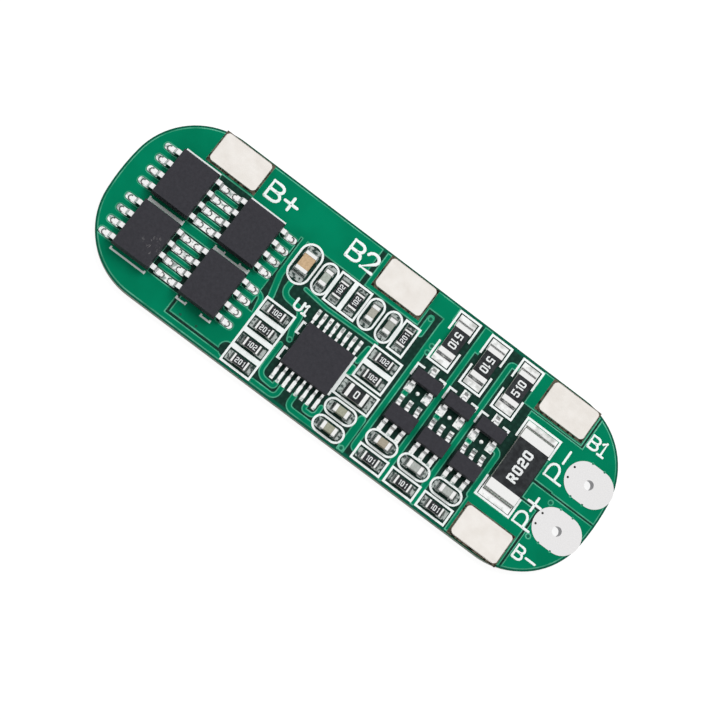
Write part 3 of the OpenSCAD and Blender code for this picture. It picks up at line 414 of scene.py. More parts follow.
to_ring = number(laminate, "MINIMUM", to_middle_of("wire_pad_p_plus"), to_middle_of("wire_pad_p_minus"))
filled = number(laminate, "GREATER_THAN", to_ring, RING_CLEARANCE * MM)
fill_colour = blend_colours(laminate, noise(laminate, grain_mm=4.0, detail=2.0), (0.0, 0.165, 0.08), (0.0, 0.205, 0.1))
back_colour = mix(laminate, filled, face_colour, fill_colour)
turned_down = number(laminate, "LESS_THAN", upward(laminate), 0)
front_or_back = mix(laminate, turned_down, face_colour, back_colour)
print("fill on the back starts", RING_CLEARANCE, "mm from each wire hole")

# %% [markdown]
# ## Painted light along the cut edge
# A narrow band along the cut edge is painted a brighter green: painted light, standing for daylight that leaks in
# through the edge.
# The board is the same in all four corners, so one corner's centre serves for all once the place is mirrored
# into that quarter: beyond the centre the distance to it grows up to the corner's radius.
# The centre is put far above the board, so that height adds nothing to the distance.

# %% Laminate: painted light in a band along the outline
CORNER_RADIUS = 7.05
BAND_WIDTH = 0.4
BAND_FADE = 0.16
FAR_ABOVE = 1000
half_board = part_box("board")[1] / MM
corner_centre = Vector((half_board.x - CORNER_RADIUS, half_board.y - CORNER_RADIUS, FAR_ABOVE)) * MM
quarter = vector(laminate, "ABSOLUTE", place_of(laminate))
beyond_centre = vector(laminate, "MAXIMUM", vector(laminate, "SUBTRACT", quarter, corner_centre), (0, 0, 0))
reach = vector(laminate, "LENGTH", beyond_centre)
band_start = CORNER_RADIUS - BAND_WIDTH
band = rescale(laminate, reach, band_start * MM, (band_start + BAND_FADE) * MM)
# The band mixes in a lighter green: painted light, not a colour of the laminate itself.
face_with_painted_edge_light = mix(laminate, band, front_or_back, (0.0, 0.095, 0.052))
facing = number(laminate, "ABSOLUTE", upward(laminate))
colour_by(laminate, mix(laminate, facing, edge_colour, face_with_painted_edge_light))
paint(laminate, "board")

# %% [markdown]
# ## Solder mask over copper
# Copper under the same green mask sends the light back, so tracks and filled areas look much brighter
# than bare laminate. Cured mask is a lacquer with faint clouding where it ran thicker.

# %% Green mask over copper
green_mask = new_finish("green_mask", (0.0, 0.2, 0.1), roughness=0.3, specular=0.025)
clouds = noise(green_mask, grain_mm=4.0, detail=2.0)
colour_by(green_mask, blend_colours(green_mask, clouds, (0.0, 0.183, 0.089), (0.0, 0.222, 0.11)))
relief(green_mask, noise(green_mask, grain_mm=0.5, detail=2.0), depth_mm=0.003, strength=0.4)
paint(green_mask, "masked_copper")

# %% [markdown]
# ## White ink
# The printed outlines are screen-printed epoxy ink: matte, nearly opaque and a touch thin
# where the screen's mesh sat.

# %% White ink
white_ink = new_finish("white_print", (0.9, 0.93, 0.92), roughness=0.55, specular=0.2)
ink_film = noise(white_ink, grain_mm=0.25, detail=4.0)
colour_by(white_ink, blend_colours(white_ink, ink_film, (0.8, 0.86, 0.84), (0.91, 0.95, 0.94), low=0.25, high=0.5))
relief(white_ink, ink_film, depth_mm=0.006, strength=0.5)
paint(white_ink, "printed_outlines")

# %% [markdown]
# ## Tinned pads
# The two wire pads are coated with molten tin that is blown level with hot air, which leaves a bright,
# softly uneven skin with fine grain. Every wall, also inside the wire holes, is painted a much darker tone than the
# faces: painted shade.

# %% Levelled tin on the wire pads
tinned_land = new_finish("tinned_land", (0.83, 0.83, 0.83), roughness=0.3, metallic=1.0)
grain = noise(tinned_land, grain_mm=0.12, detail=3.0)
vary_roughness(tinned_land, grain, low=0.3, high=0.38)
face_tone = blend_colours(tinned_land, grain, (0.79, 0.78, 0.78), (0.84, 0.83, 0.83), low=0.3, high=0.6)
flat_face_not_wall_shade = number(tinned_land, "ABSOLUTE", upward(tinned_land))
# Walls get a near-black colour as painted shade, and flat faces keep the tin's tone.
colour_by(tinned_land, mix(tinned_land, flat_face_not_wall_shade, (0.16, 0.16, 0.17), face_tone))
relief(tinned_land, noise(tinned_land, grain_mm=1.2, detail=1.5), depth_mm=0.015, strength=0.5)
paint(tinned_land, "wire_pad_p_plus", "wire_pad_p_minus")

# %% [markdown]
# ## Nickel tabs
# Each tab is a slug of nickel-plated strip. Rolling leaves a faint grain along its length,
# and handling leaves soft clouds.

# %% Nickel plate
nickel_tab = new_finish("nickel_tab", (0.86, 0.83, 0.8), roughness=0.34, metallic=1.0)
rolled_grain = noise(nickel_tab, grain_mm=0.25, detail=5.0, stretch=(0.25, 1, 1), rough=0.7)
vary_roughness(nickel_tab, rolled_grain, low=0.26, high=0.48)
handling = noise(nickel_tab, grain_mm=1.6, detail=4.0)
nickel_tone = blend_colours(nickel_tab, handling, (0.83, 0.785, 0.735), (0.92, 0.885, 0.845), low=0.3, high=0.7)
colour_by(nickel_tab, nickel_tone)
relief(nickel_tab, rolled_grain, depth_mm=0.006, strength=0.5)
paint(nickel_tab, *nodes_named("tab_b"))

# %% [markdown]
# ## Moulded packages
# The transistors and chips are moulded in black epoxy filled with glass powder. Up close it is charcoal, not black,
# with a fine sparkle of grain.

# %% Black moulding compound
black_mould = new_finish("black_mould", (0.03, 0.029, 0.033), roughness=0.55, specular=0.35)
powder = noise(black_mould, grain_mm=0.28, detail=5.0, rough=0.8)
mould_colour = blend_colours(black_mould, powder, (0.016, 0.0155, 0.021), (0.035, 0.034, 0.042), low=0.3, high=0.7)
vary_roughness(black_mould, powder, low=0.48, high=0.66)
relief(black_mould, powder, depth_mm=0.006, strength=0.6)
print("moulding compound is", black_mould.name)

# %% [markdown]
# ## One scuffed package
# One transistor carries a light scuff from handling. It is a patch of pale scratches that fades with the distance
# from its middle, so every other package stays clean although all share the finish.

# %% Scuff on one power transistor
SCUFF_PLACE = (-19.8, -4.1, 2.6)
SCUFF_RADIUS = 1.1
SCUFF_CORE = 0.2
from_scuff = vector(black_mould, "DISTANCE", place_of(black_mould), Vector(SCUFF_PLACE) * MM)
near = rescale(black_mould, from_scuff, SCUFF_RADIUS * MM, SCUFF_CORE * MM)
streaks = noise(black_mould, grain_mm=0.35, detail=5.0, stretch=(1, 0.5, 1), rough=0.75)
scratches = rescale(black_mould, streaks, 0.58, 0.66)
scuff = number(black_mould, "MULTIPLY", near, scratches)
colour_by(black_mould, mix(black_mould, scuff, mould_colour, (0.42, 0.4, 0.4)))
paint(black_mould, *nodes_named("power_fet", "monitor_chip", "balance_switch", "detector", without=("lead", "solder")))

# %% [markdown]
# ## Leads and chip ends
# Leads and chip ends are plated with satin tin. The ends of chips are dipped, so their skin is a little lumpier.

# %% Tin plate on leads and chip ends
tinned_lead = new_finish("tinned_lead", (0.9, 0.9, 0.9), roughness=0.3, metallic=0.8)
lead_grain = noise(tinned_lead, grain_mm=0.1, detail=3.0)
vary_roughness(tinned_lead, lead_grain, low=0.24, high=0.4)
relief(tinned_lead, lead_grain, depth_mm=0.004, strength=0.5)
paint(tinned_lead, *[n for n in nodes if "_leads" in n])
chip_end = new_finish("chip_end", (0.88, 0.88, 0.87), roughness=0.32, metallic=1.0)
end_grain = noise(chip_end, grain_mm=0.14, detail=4.0)
vary_roughness(chip_end, end_grain, low=0.24, high=0.46)
relief(chip_end, end_grain, depth_mm=0.012, strength=0.6)
paint(chip_end, *[n for n in nodes if n.endswith("_ends")])

# %% [markdown]
# ## Solder
# Solder that has frozen in a bead is bright and smooth, and where only a thin film of it wets a land it is dull,
# dark and uneven. Height above the land tells the two apart. The hot joints of the power parts are the brightest,
# the broad lands of the large resistors the calmest, and the lands round the cell tabs are nearly black: dark solder
# with painted shade from the tabs.

# %% Recipe for frozen solder
land_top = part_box("tab_lands")[1].z / MM
FILM_T = 0.002
BEAD_H = 0.05
BEAD_UNEVENNESS = 0.15


def frozen_solder(name, names, body, film_dark, film_light, patch_mm, unevenness):
    """Solder whose thin film has its own two tones and unevenness, while everything higher up is smooth."""
    finish = new_finish(name, body, roughness=0.16, metallic=1.0)
    height = along(finish, place_of(finish), "Z")
    above_film = rescale(finish, height, (land_top + FILM_T) * MM, (land_top + BEAD_H) * MM)
    ripple = noise(finish, grain_mm=0.3, detail=2.5)
    vary_roughness(finish, ripple, low=0.12, high=0.3)
    relief(finish, ripple, depth_mm=0.06, strength=rescale(finish, above_film, 0, 1, unevenness, BEAD_UNEVENNESS))
    patches = noise(finish, grain_mm=patch_mm, detail=3.0)
    film_tone = blend_colours(finish, patches, film_dark, film_light, low=0.4, high=0.55)
    colour_by(finish, mix(finish, above_film, film_tone, body))
    paint(finish, *names)


# %% Four kinds of solder
BRIGHT = (0.9, 0.9, 0.89)
frozen_solder(
    "solder", ("power_fet_solder", "monitor_chip_solder", "cell_stage_solder"),
    body=BRIGHT, film_dark=(0.3, 0.36, 0.34), film_light=(0.88, 0.9, 0.88), patch_mm=0.45, unevenness=0.4,
)
frozen_solder(
    "broad_solder", ("bleed_resistor_solder", "shunt_resistor_solder"),
    body=BRIGHT, film_dark=(0.55, 0.56, 0.54), film_light=(0.92, 0.93, 0.92), patch_mm=1.1, unevenness=0.15,
)
# The small chips' solder is dull grey with a nearly black-green film: partly dull solder, partly a painted dark
# reflection of the board round it.
frozen_solder(
    "dull_solder_with_painted_dark_reflection", ("small_chip_solder",),
    body=(0.42, 0.45, 0.44), film_dark=(0.03, 0.05, 0.045), film_light=(0.42, 0.46, 0.44),
    patch_mm=0.32, unevenness=0.9,
)
# Nearly black film round the cell tabs: partly dark solder, partly painted shade thrown by the tabs.
frozen_solder(
    "dark_solder_with_painted_tab_shade", ("tab_lands",),
    body=BRIGHT, film_dark=(0.015, 0.014, 0.009), film_light=(0.13, 0.11, 0.08), patch_mm=0.4, unevenness=0.8,
)

# %% [markdown]
# ## Resistors
# A chip resistor is a sliver of white ceramic with a black glaze on top, so its sides stay pale.
# The glaze has run while it was fired, which leaves a slight flow in its tone.

# %% Resistor glaze with bare ceramic sides
resistor_glaze = new_finish("resistor_glaze", (0.02, 0.022, 0.024), roughness=0.3, specular=0.2)
glaze_flow = noise(resistor_glaze, grain_mm=0.5, detail=3.0)
glaze_colour = blend_colours(resistor_glaze, glaze_flow, (0.011, 0.012, 0.014), (0.03, 0.033, 0.036))
bare_side = number(resistor_glaze, "LESS_THAN", upward(resistor_glaze), 0.5)
colour_by(resistor_glaze, mix(resistor_glaze, bare_side, glaze_colour, (0.5, 0.49, 0.46)))
vary_roughness(resistor_glaze, glaze_flow, low=0.3, high=0.5)
relief(resistor_glaze, glaze_flow, depth_mm=0.01, strength=0.4)
paint(resistor_glaze, *nodes_named("bleed_resistor", "shunt_resistor", "row_resistors", "gate_resistors",
                                   "sense_resistors", "cell_resistors", without=("_ends", "_solder")))

# %% [markdown]
# ## Capacitors from several reels
# A chip capacitor is bare fired ceramic, whose colour depends on its mix, from orange-brown through tan to grey-green.
# The capacitors of one bank seldom come off one reel, so their tones differ. One finish per bank takes its tone
# from the place along the board, with a sharp change between two neighbours.


# %% Fired ceramics, each bank with its own tones along the board
def fired_ceramic(name, bank, first_tone, *changes):
    """Satin mottled ceramic. Each change is the X in mm from which the next tone holds, and that tone."""
    finish = new_finish(name, first_tone, roughness=0.42, specular=0.45)
    reel = finish.node_tree.nodes.new("ShaderNodeValToRGB")
    reel.color_ramp.interpolation = "CONSTANT"
    stops = reel.color_ramp.elements
    last_tone = changes[-1][1] if changes else first_tone
    stops[0].color = (*first_tone, 1)
    stops[1].position, stops[1].color = 1.0, (*last_tone, 1)
    for x_mm, tone in changes:
        stops.new((x_mm + half_board.x) / (2 * half_board.x)).color = (*tone, 1)
    x = along(finish, place_of(finish), "X")
    feed(finish, reel.inputs["Fac"], rescale(finish, x, -half_board.x * MM, half_board.x * MM))
    mottle = noise(finish, grain_mm=0.18, detail=4.0)
    shade = blend_colours(finish, mottle, (0.76, 0.75, 0.72), (1.06, 1.06, 1.06), low=0.3, high=0.7)
    colour_by(finish, mix(finish, 1, reel.outputs["Color"], shade, way="MULTIPLY"))
    vary_roughness(finish, mottle, low=0.36, high=0.52)
    relief(finish, mottle, depth_mm=0.006, strength=0.5)
    paint(finish, bank)


fired_ceramic("orange_ceramic", "filter_capacitor", (0.6, 0.42, 0.25))
fired_ceramic("grey_ceramic", "row_capacitors", (0.42, 0.47, 0.42), (-3, (0.42, 0.41, 0.36)), (0, (0.33, 0.35, 0.32)))
fired_ceramic("olive_ceramic", "corner_capacitors", (0.37, 0.38, 0.29))
fired_ceramic("tan_ceramic", "cell_capacitors", (0.4, 0.36, 0.28), (8.2, (0.44, 0.47, 0.45)))

# %% [markdown]
# ## The sloped rim of the copper
# Mask is a liquid when it goes on, so it runs down the side of each copper shape in a short slope.
# That slope catches the light, and a lighter green painted on it as a painted highlight draws a thin bright line round
# every track.
# The outline of every copper shape is read from the top faces of its CAD node: an edge with a top face on one side only
# is part of an outline.


# %% Outline of the copper, read from its flat top
WELD_DISTANCE = 0.0005 * MM
LEVEL_SLACK = 0.005


def outline_edges(source, level_mm):
    """Directed edges round the flat top of a mesh at one height, with the metal on their left."""
    merged = bmesh.new()
    merged.from_mesh(source)
    bmesh.ops.remove_doubles(merged, verts=merged.verts, dist=WELD_DISTANCE)
    tops = {f for f in merged.faces
            if f.normal.z > 0.9 and abs(f.calc_center_median().z / MM - level_mm) < LEVEL_SLACK}
    edges = []
    for face in (f for f in merged.faces if f in tops):
        for loop in face.loops:
            if sum(f in tops for f in loop.edge.link_faces) == 1:
                a, b = loop.vert.co.xy / MM, loop.link_loop_next.vert.co.xy / MM
                edges.append(((round(a.x, 4), round(a.y, 4)), (round(b.x, 4), round(b.y, 4))))
    merged.free()
    return edges


copper_edges = outline_edges(nodes["masked_copper"].data, copper_top)
print("the copper's outlines have", len(copper_edges), "edges")

# %% [markdown]
# ## A strip that leans outwards
# A narrow strip is built outwards from each outline in three steps: over the copper's edge, halfway down
# and out to the laminate. At a corner it leans out a little further, so that the strip keeps its width there.

# %% Rim strip round every copper shape
RIM_WIDTH = 0.09
RIM_TUCK = 0.015
RIM_LEVELS = (
    (-RIM_TUCK, copper_top + 0.002),
    (0.0, copper_top),
    (RIM_WIDTH / 2, board_top + 0.032),
    (RIM_WIDTH, board_top + 0.004),
)


def rim_mesh(name, edges):
    """Strip that slopes from the outline down to the laminate."""
    into, out_of = {}, {}
    for a, b in edges:
        if a != b:
            heading = (Vector(b) - Vector(a)).normalized()
            out_of.setdefault(a, []).append(heading)
            into.setdefault(b, []).append(heading)

    def outward(point):
        headings = out_of.get(point, []) + into.get(point, [])
        mean = sum((Vector((h.y, -h.x)) for h in headings), Vector((0, 0)))
        if mean.length < 0.2:
            return Vector((0, 0))
        mean.normalize()
        lean = max(0.5, sum(mean.dot(Vector((h.y, -h.x))) for h in headings) / len(headings))
        return mean / lean

    vertices, faces, index = [], [], {}
    for a, b in edges:
        if a == b:
            continue
        for point in (a, b):
            if point not in index:
                index[point] = len(vertices)
                shift = outward(point)
                for offset, level_mm in RIM_LEVELS:
                    x, y = point[0] + shift.x * offset, point[1] + shift.y * offset
                    vertices.append((x * MM, y * MM, level_mm * MM))
        i, j = index[a], index[b]
        for k in range(len(RIM_LEVELS) - 1):
            faces.append((i + k, i + k + 1, j + k + 1, j + k))
    mesh = bpy.data.meshes.new(name)
    mesh.from_pydata(vertices, [], faces)
    mesh.validate()
    mesh.shade_smooth()
    return mesh


def add_piece(name, mesh, finish=None):
    """New object at the origin that rides on the board and takes a slot's finish."""
    piece = bpy.data.objects.new(name, mesh)
    bpy.context.scene.collection.objects.link(piece)
    if finish:
        mesh.materials.clear()
        mesh.materials.append(finish)
    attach(piece, "root")
    print(name, "has", len(mesh.polygons), "faces")
    return piece


# The strip's green, lighter than the mask's, is a painted highlight. Its slope also mirrors the bright sky.
rim_painted_highlight = new_finish("mask_rim_painted_highlight", (0.03, 0.4, 0.22), roughness=0.25, specular=0.4)
rim_highlight_clouds = noise(rim_painted_highlight, grain_mm=1.5, detail=3.0)
colour_by(rim_painted_highlight, blend_colours(rim_painted_highlight, rim_highlight_clouds, (0.01, 0.27, 0.14), (0.1, 0.46, 0.3)))
add_piece("mask_rims", rim_mesh("mask_rims", copper_edges), rim_painted_highlight)

# %% [markdown]
# ## Letters drawn with a pen
# Board labels are drawn with a round pen of one width, so each letter is a few pen strokes.
# A stroke is stored as points on a small grid, one unit high. Curved parts are arcs, made by one helper.


# %% Pen strokes of each letter, in a cell one unit high
def arc(centre, radii, start, end, steps=7):
    """Points along an arc, with angles in degrees."""
    turn = [math.radians(start + (end - start) * i / steps) for i in range(steps + 1)]
    return [(centre[0] + radii[0] * math.cos(t), centre[1] + radii[1] * math.sin(t)) for t in turn]


LETTERS = {
    "B": [[(0, 0), (0, 1)] + arc((0.34, 0.76), (0.24, 0.24), 90, -90) + [(0, 0.52)],
          [(0.34, 0.52)] + arc((0.36, 0.26), (0.26, 0.26), 90, -90) + [(0, 0)]],
    "P": [[(0, 0), (0, 1)] + arc((0.34, 0.69), (0.31, 0.31), 90, -90) + [(0, 0.38)]],
    "U": [[(0, 1)] + arc((0.28, 0.28), (0.28, 0.28), 180, 360) + [(0.56, 1)]],
    "1": [[(0.04, 0.8), (0.26, 1), (0.26, 0)], [(0.04, 0), (0.48, 0)]],
    "2": [arc((0.28, 0.72), (0.28, 0.28), 170, -35) + [(0, 0), (0.58, 0)]],
    "+": [[(0, 0.5), (0.72, 0.5)], [(0.36, 0.14), (0.36, 0.86)]],
    "-": [[(0, 0.5), (0.72, 0.5)]],
}
print("letters:", *LETTERS)

# %% [markdown]
# ## Boxy figures for the resistors
# The codes on resistors are marked in boxier figures with cut corners, so they get a set of their own.

# %% Pen strokes of the boxy figures
BOXY_LETTERS = {
    "R": [[(0, 0), (0, 1), (0.46, 1), (0.56, 0.9), (0.56, 0.55), (0.46, 0.45), (0, 0.45)], [(0.24, 0.45), (0.58, 0)]],
    "0": [[(0.1, 0), (0, 0.1), (0, 0.9), (0.1, 1), (0.46, 1), (0.56, 0.9), (0.56, 0.1), (0.46, 0), (0.1, 0)]],
    "1": [[(0.16, 0.82), (0.32, 1), (0.32, 0)]],
    "2": [[(0, 0.88), (0.1, 1), (0.46, 1), (0.56, 0.9), (0.56, 0.6), (0.46, 0.5), (0.1, 0.48), (0, 0.38),
           (0, 0), (0.56, 0)]],
    "5": [[(0.56, 1), (0, 1), (0, 0.56), (0.46, 0.56), (0.56, 0.46), (0.56, 0.1), (0.46, 0), (0.1, 0), (0, 0.12)]],
}
print("boxy figures:", *BOXY_LETTERS)


# %% Helper that lays out the strokes of labels
def stroke_net(labels, letters):
    """Points and edges of several labels. Each label is (text, corner, height, width scale, gap, turn in degrees)."""
    points, edges = [], []
    for text, corner, tall, wide, gap, turn in labels:
        pen_x = 0.0
        cos_t, sin_t = math.cos(math.radians(turn)), math.sin(math.radians(turn))
        for letter in text:
            for stroke in letters[letter]:
                first = len(points)
                for x, y in stroke:
                    u, v = pen_x + x * tall * wide, y * tall
                    points.append((corner[0] + u * cos_t - v * sin_t, corner[1] + u * sin_t + v * cos_t))
                edges += [(i, i + 1) for i in range(first, len(points) - 1)]
            reach = max(x for stroke in letters[letter] for x, y in stroke)
            pen_x += reach * tall * wide + gap
    return points, edges


# %% [markdown]
# ## From strokes to ink
# A Geometry Nodes tree sweeps a round pen along the strokes, rounds each end with a ball, and then presses
# the result flat. The pen's width, the film's thickness and the height of the surface are named inputs,
# so one tree prints every label.


# %% Geometry Nodes tree that inks the strokes
PEN_SIDES = 10
BALL_RINGS = 6


def pen_tree(name, finish):
    """Tree with inputs for pen width, film thickness and surface height, all in metres."""
    tree = bpy.data.node_groups.new(name, "GeometryNodeTree")
    face = tree.interface
    face.new_socket("Geometry", in_out="INPUT", socket_type="NodeSocketGeometry")
    for label in ("Pen width", "Film thickness", "Surface height"):
        face.new_socket(label, in_out="INPUT", socket_type="NodeSocketFloat")
    face.new_socket("Geometry", in_out="OUTPUT", socket_type="NodeSocketGeometry")
    new, link = tree.nodes.new, tree.links.new
    start, end = new("NodeGroupInput"), new("NodeGroupOutput")
    half = new("ShaderNodeMath")
    half.operation = "DIVIDE"
    half.inputs[1].default_value = 2
    link(start.outputs["Pen width"], half.inputs[0])
    to_curve = new("GeometryNodeMeshToCurve")
    link(start.outputs["Geometry"], to_curve.inputs["Mesh"])
    pen = new("GeometryNodeCurvePrimitiveCircle")
    pen.inputs["Resolution"].default_value = PEN_SIDES
    link(half.outputs[0], pen.inputs["Radius"])
    sweep = new("GeometryNodeCurveToMesh")
    sweep.inputs["Fill Caps"].default_value = True
    link(to_curve.outputs["Curve"], sweep.inputs["Curve"])
    link(pen.outputs["Curve"], sweep.inputs["Profile Curve"])
    ball = new("GeometryNodeMeshUVSphere")
    ball.inputs["Segments"].default_value = PEN_SIDES
    ball.inputs["Rings"].default_value = BALL_RINGS
    link(half.outputs[0], ball.inputs["Radius"])
    ends = new("GeometryNodeInstanceOnPoints")
    link(start.outputs["Geometry"], ends.inputs["Points"])
    link(ball.outputs["Mesh"], ends.inputs["Instance"])
    both = new("GeometryNodeJoinGeometry")
    link(sweep.outputs["Mesh"], both.inputs["Geometry"])
    link(ends.outputs["Instances"], both.inputs["Geometry"])
    plain = new("GeometryNodeRealizeInstances")
    link(both.outputs["Geometry"], plain.inputs["Geometry"])
    ratio = new("ShaderNodeMath")
    ratio.operation = "DIVIDE"
    link(start.outputs["Film thickness"], ratio.inputs[0])
    link(half.outputs[0], ratio.inputs[1])
    squash = new("ShaderNodeCombineXYZ")
    squash.inputs["X"].default_value = 1
    squash.inputs["Y"].default_value = 1
    link(ratio.outputs[0], squash.inputs["Z"])
    lift = new("ShaderNodeCombineXYZ")
    link(start.outputs["Surface height"], lift.inputs["Z"])
    press = new("GeometryNodeTransform")
    link(plain.outputs["Geometry"], press.inputs["Geometry"])
    link(lift.outputs[0], press.inputs["Translation"])
    link(squash.outputs[0], press.inputs["Scale"])
    coat = new("GeometryNodeSetMaterial")
    coat.inputs["Material"].default_value = finish
    link(press.outputs["Geometry"], coat.inputs["Geometry"])
    link(coat.outputs["Geometry"], end.inputs["Geometry"])
    return tree


# %% Helpers that run a tree and keep its result
def grow(name, start_mesh, tree, inputs):
    """Runs a tree on a mesh and keeps its result as a plain piece at the origin."""
    seed = bpy.data.objects.new(name + "_seed", start_mesh)
    bpy.context.scene.collection.objects.link(seed)
    modifier = seed.modifiers.new("grow", "NODES")
    modifier.node_group = tree
    sockets = {s.name: s.identifier for s in tree.interface.items_tree if s.in_out == "INPUT"}
    for label, value in inputs.items():
        modifier[sockets[label]] = value
    graph = bpy.context.evaluated_depsgraph_get()
    mesh = bpy.data.meshes.new_from_object(seed.evaluated_get(graph))
    mesh.name = name
    bpy.data.objects.remove(seed)
    return add_piece(name, mesh)


def draw(name, net, tree, pen_mm, film_mm, surface_mm):
    """Inks a net of points and edges in mm with one pen."""
    points, edges = net
    mesh = bpy.data.meshes.new(name + "_strokes")
    mesh.from_pydata([(x * MM, y * MM, 0) for x, y in points], edges, [])
    inputs = {"Pen width": pen_mm * MM, "Film thickness": film_mm * MM, "Surface height": surface_mm * MM}
    return grow(name, mesh, tree, inputs)


# %% [markdown]
# ## The board's labels
# Plain terminal names stand beside each tab and wire pad: B for the cells, P for the load, and U1 for the monitor chip.
# The large names of the cell tabs are drawn with the broadest pen, and the smallest names with the finest.
# The ink sinks a little into the mask below it, so the two never share a face.

# %% Terminal labels, in three pen widths
INK_SINK = 0.012
ALONG, ACROSS = 0, 90
ink_tree = pen_tree("pen_and_ink", white_ink)
# letter, lower left corner, height, width scale, gap to a next letter, turn
cell_labels = [
    ("B", (-14.89, 5.75), 1.64, 1.3, 0, ALONG), ("+", (-13.14, 5.68), 1.7, 1.05, 0, ALONG),
    ("B", (-6.04, 5.87), 1.68, 1.22, 0, ALONG), ("2", (-4.38, 5.87), 1.68, 1.22, 0, ALONG),
]
load_labels = [
    ("P", (21.43, 0.92), 1.78, 1.18, 0, ACROSS),
    ("P", (21.5, -4.09), 1.78, 1.06, 0, ACROSS), ("+", (21.5, -2.46), 1.85, 1.0, 0, ACROSS),
]
fine_labels = [
    ("B", (21.4, 5.3), 1.18, 1.23, 0, ALONG), ("1", (22.5, 5.26), 1.28, 1.05, 0, ALONG),
    ("B", (21.48, -6.65), 1.18, 1.15, 0, ALONG), ("-", (22.67, -6.69), 1.18, 1.12, 0, ALONG),
    ("-", (21.43, 2.69), 1.78, 0.98, 0, ACROSS),
    ("U", (-6.95, -0.7), 0.9, 1.4, 0, ALONG), ("1", (-6.05, -0.7), 0.9, 1.0, 0, ALONG),
]
for name, labels, pen_mm in (("cell_labels", cell_labels, 0.32), ("load_labels", load_labels, 0.27),
                             ("fine_labels", fine_labels, 0.25)):
    draw(name, stroke_net(labels, LETTERS), ink_tree, pen_mm, film_mm=0.03, surface_mm=copper_top - INK_SINK)

# %% [markdown]
# ## Where the value codes go
# Each resistor carries its plain value in one to four figures, centred on the resistor.
# One CAD node holds several resistors as separate solids, so the middles are found by walking from corner to corner
# until a solid has no more.


# %% Middles of the separate solids of a node
def solid_middles(name):
    """Middle of each separate solid of a node, in mm, from left to right and from low to high."""
    loose = bmesh.new()
    loose.from_mesh(nodes[name].data)
    bmesh.ops.remove_doubles(loose, verts=loose.verts, dist=WELD_DISTANCE)
    middles, seen_before = [], set()
    for first in loose.verts:
        if first in seen_before:
            continue
        seen_before.add(first)
        island, waiting = [], [first]
        while waiting:
            corner = waiting.pop()
            island.append(corner.co)
            for edge in corner.link_edges:
                other = edge.other_vert(corner)
                if other not in seen_before:
                    seen_before.add(other)
                    waiting.append(other)
        spans = [(min(c[k] for c in island), max(c[k] for c in island)) for k in (0, 1)]
        middles.append(tuple(round((low + high) / 2 / MM, 3) for low, high in spans))
    loose.free()
    return sorted(middles)


def centred(text, middle, letter_size, turn):
    """Boxy label whose middle lies at a given place. The letter size is height, width scale and gap."""
    tall, wide, gap = letter_size
    widths = [max(x for stroke in BOXY_LETTERS[figure] for x, y in stroke) * tall * wide for figure in text]
    long = sum(widths) + gap * (len(text) - 1)
    cos_t, sin_t = math.cos(math.radians(turn)), math.sin(math.radians(turn))
    corner = (middle[0] - long / 2 * cos_t + tall / 2 * sin_t, middle[1] - long / 2 * sin_t - tall / 2 * cos_t)
    return text, corner, tall, wide, gap, turn


print("gate resistors at", solid_middles("gate_resistors"))

# %% [markdown]
# ## Codes on the large resistors
# The shunt reads R020, which is 0.020 ohm, and the three bleed resistors read 510, which is 51 ohm.
# Marks on resistors are a little greyer than the board's ink.

# %% Grey ink and the codes of the shunt and the bleed resistors
CODE_SINK = 0.004
SHUNT_LETTERS = (0.8, 0.97, 0.38)
BLEED_LETTERS = (0.68, 0.9, 0.24)
BLEED_TURNS = (-90, -90, 90)
code_ink = new_finish("code_print", (0.75, 0.76, 0.76), roughness=0.5, specular=0.3)
code_film = noise(code_ink, grain_mm=0.2, detail=3.0)
colour_by(code_ink, blend_colours(code_ink, code_film, (0.74, 0.76, 0.76), (0.9, 0.92, 0.92)))
code_tree = pen_tree("pen_on_resistors", code_ink)
shunt_label = [centred("R020", solid_middles("shunt_resistor")[0], SHUNT_LETTERS, ACROSS)]
draw("shunt_code", stroke_net(shunt_label, BOXY_LETTERS), code_tree,
     pen_mm=0.25, film_mm=0.02, surface_mm=shunt_top - CODE_SINK)
bleed_labels = [
    centred("510", solid_middles("bleed_resistor_%d" % stage)[0], BLEED_LETTERS, turn)
    for stage, turn in enumerate(BLEED_TURNS, start=1)
]
draw("bleed_codes", stroke_net(bleed_labels, BOXY_LETTERS), code_tree,
     pen_mm=0.17, film_mm=0.012, surface_mm=bleed_top - CODE_SINK)

# %% [markdown]
# ## Codes on the small resistors
# The small resistors read 101, 102 and 201, which are 100 ohm, 1000 ohm and 200 ohm. The larger link reads 0.

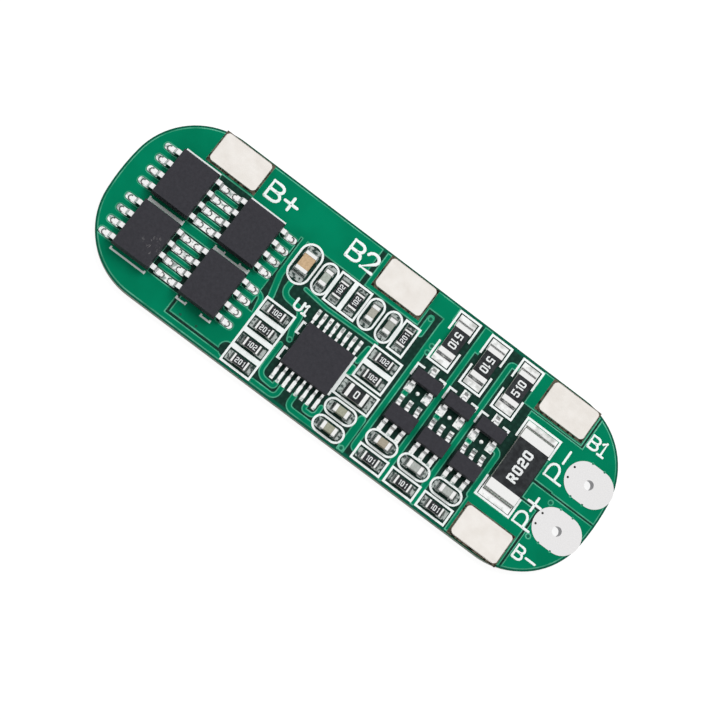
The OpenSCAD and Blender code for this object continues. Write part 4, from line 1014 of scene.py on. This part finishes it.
# %% Codes on the small resistors and on the link
SMALL_LETTERS = (0.42, 0.85, 0.16)
LINK_LETTERS = (0.6, 0.9, 0.1)
SMALL_CODES = {
    "row_resistors": (("102", "102", "201"), ACROSS),
    "gate_resistors": (("201", "102", "201", "102"), ALONG),
    "cell_resistors": (("101", "101", "101"), ALONG),
}
small_labels = [
    centred(text, middle, SMALL_LETTERS, turn)
    for name, (texts, turn) in SMALL_CODES.items()
    for text, middle in zip(texts, solid_middles(name))
]
link, *sense = sorted(solid_middles("sense_resistors"), key=lambda place: place[1])
small_labels += [centred("102", middle, SMALL_LETTERS, ALONG) for middle in sense]
draw("small_codes", stroke_net(small_labels, BOXY_LETTERS), code_tree,
     pen_mm=0.1, film_mm=0.008, surface_mm=chip_top - CODE_SINK)
link_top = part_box("sense_resistors")[1].z / MM
link_label = [centred("0", link, LINK_LETTERS, ALONG)]
draw("link_code", stroke_net(link_label, BOXY_LETTERS), code_tree,
     pen_mm=0.15, film_mm=0.01, surface_mm=link_top - CODE_SINK)

# %% [markdown]
# ## Tented vias
# Small plated holes that join the copper of the two faces are covered by mask. Each shows as a low ring
# with a dimple in it, and two of them, with no land of their own, as a dimple alone.
# The same pen draws them: a ring is a closed stroke in the rim's painted-highlight green, and a dimple is a single flat
# dot of dark green, painted shade.

# %% Rings of the tented vias
VIAS = [(4.95, 4.0), (4.95, 3.3), (3.45, 5.9), (3.8, -8.1), (-5.45, -3.2), (21.65, -0.8), (21.7, -4.4)]
RING_RADIUS = 0.23
RING_SINK = 0.005
RING_STEPS = 16
ring_points, ring_edges = [], []
for middle in VIAS:
    first = len(ring_points)
    ring_points += arc(middle, (RING_RADIUS, RING_RADIUS), 0, 360 - 360 / RING_STEPS, RING_STEPS - 1)
    ring_edges += [(first + i, first + (i + 1) % RING_STEPS) for i in range(RING_STEPS)]
ring_tree = pen_tree("pen_of_mask", rim_painted_highlight)
draw("via_rings", (ring_points, ring_edges), ring_tree,
     pen_mm=0.13, film_mm=0.02, surface_mm=copper_top - RING_SINK)

# %% Painted shade for the dimples of the tented vias
BURIED_VIAS = [(-14.3, -7.2), (-12.6, -7.2)]
# A flat dark dot stands for the shade inside each dimple: painted shade.
dimple_painted_shade = new_finish("painted_via_shade", (0.0, 0.09, 0.05), roughness=0.3, specular=0.2)
dimple_shade_clouds = noise(dimple_painted_shade, grain_mm=0.1, detail=2.0)
colour_by(dimple_painted_shade, blend_colours(dimple_painted_shade, dimple_shade_clouds, (0.0, 0.06, 0.035), (0.0, 0.13, 0.075)))
dimple_tree = pen_tree("pen_of_shade", dimple_painted_shade)
draw("painted_via_shade_dots", (VIAS + BURIED_VIAS, []), dimple_tree,
     pen_mm=0.26, film_mm=0.008, surface_mm=copper_top)
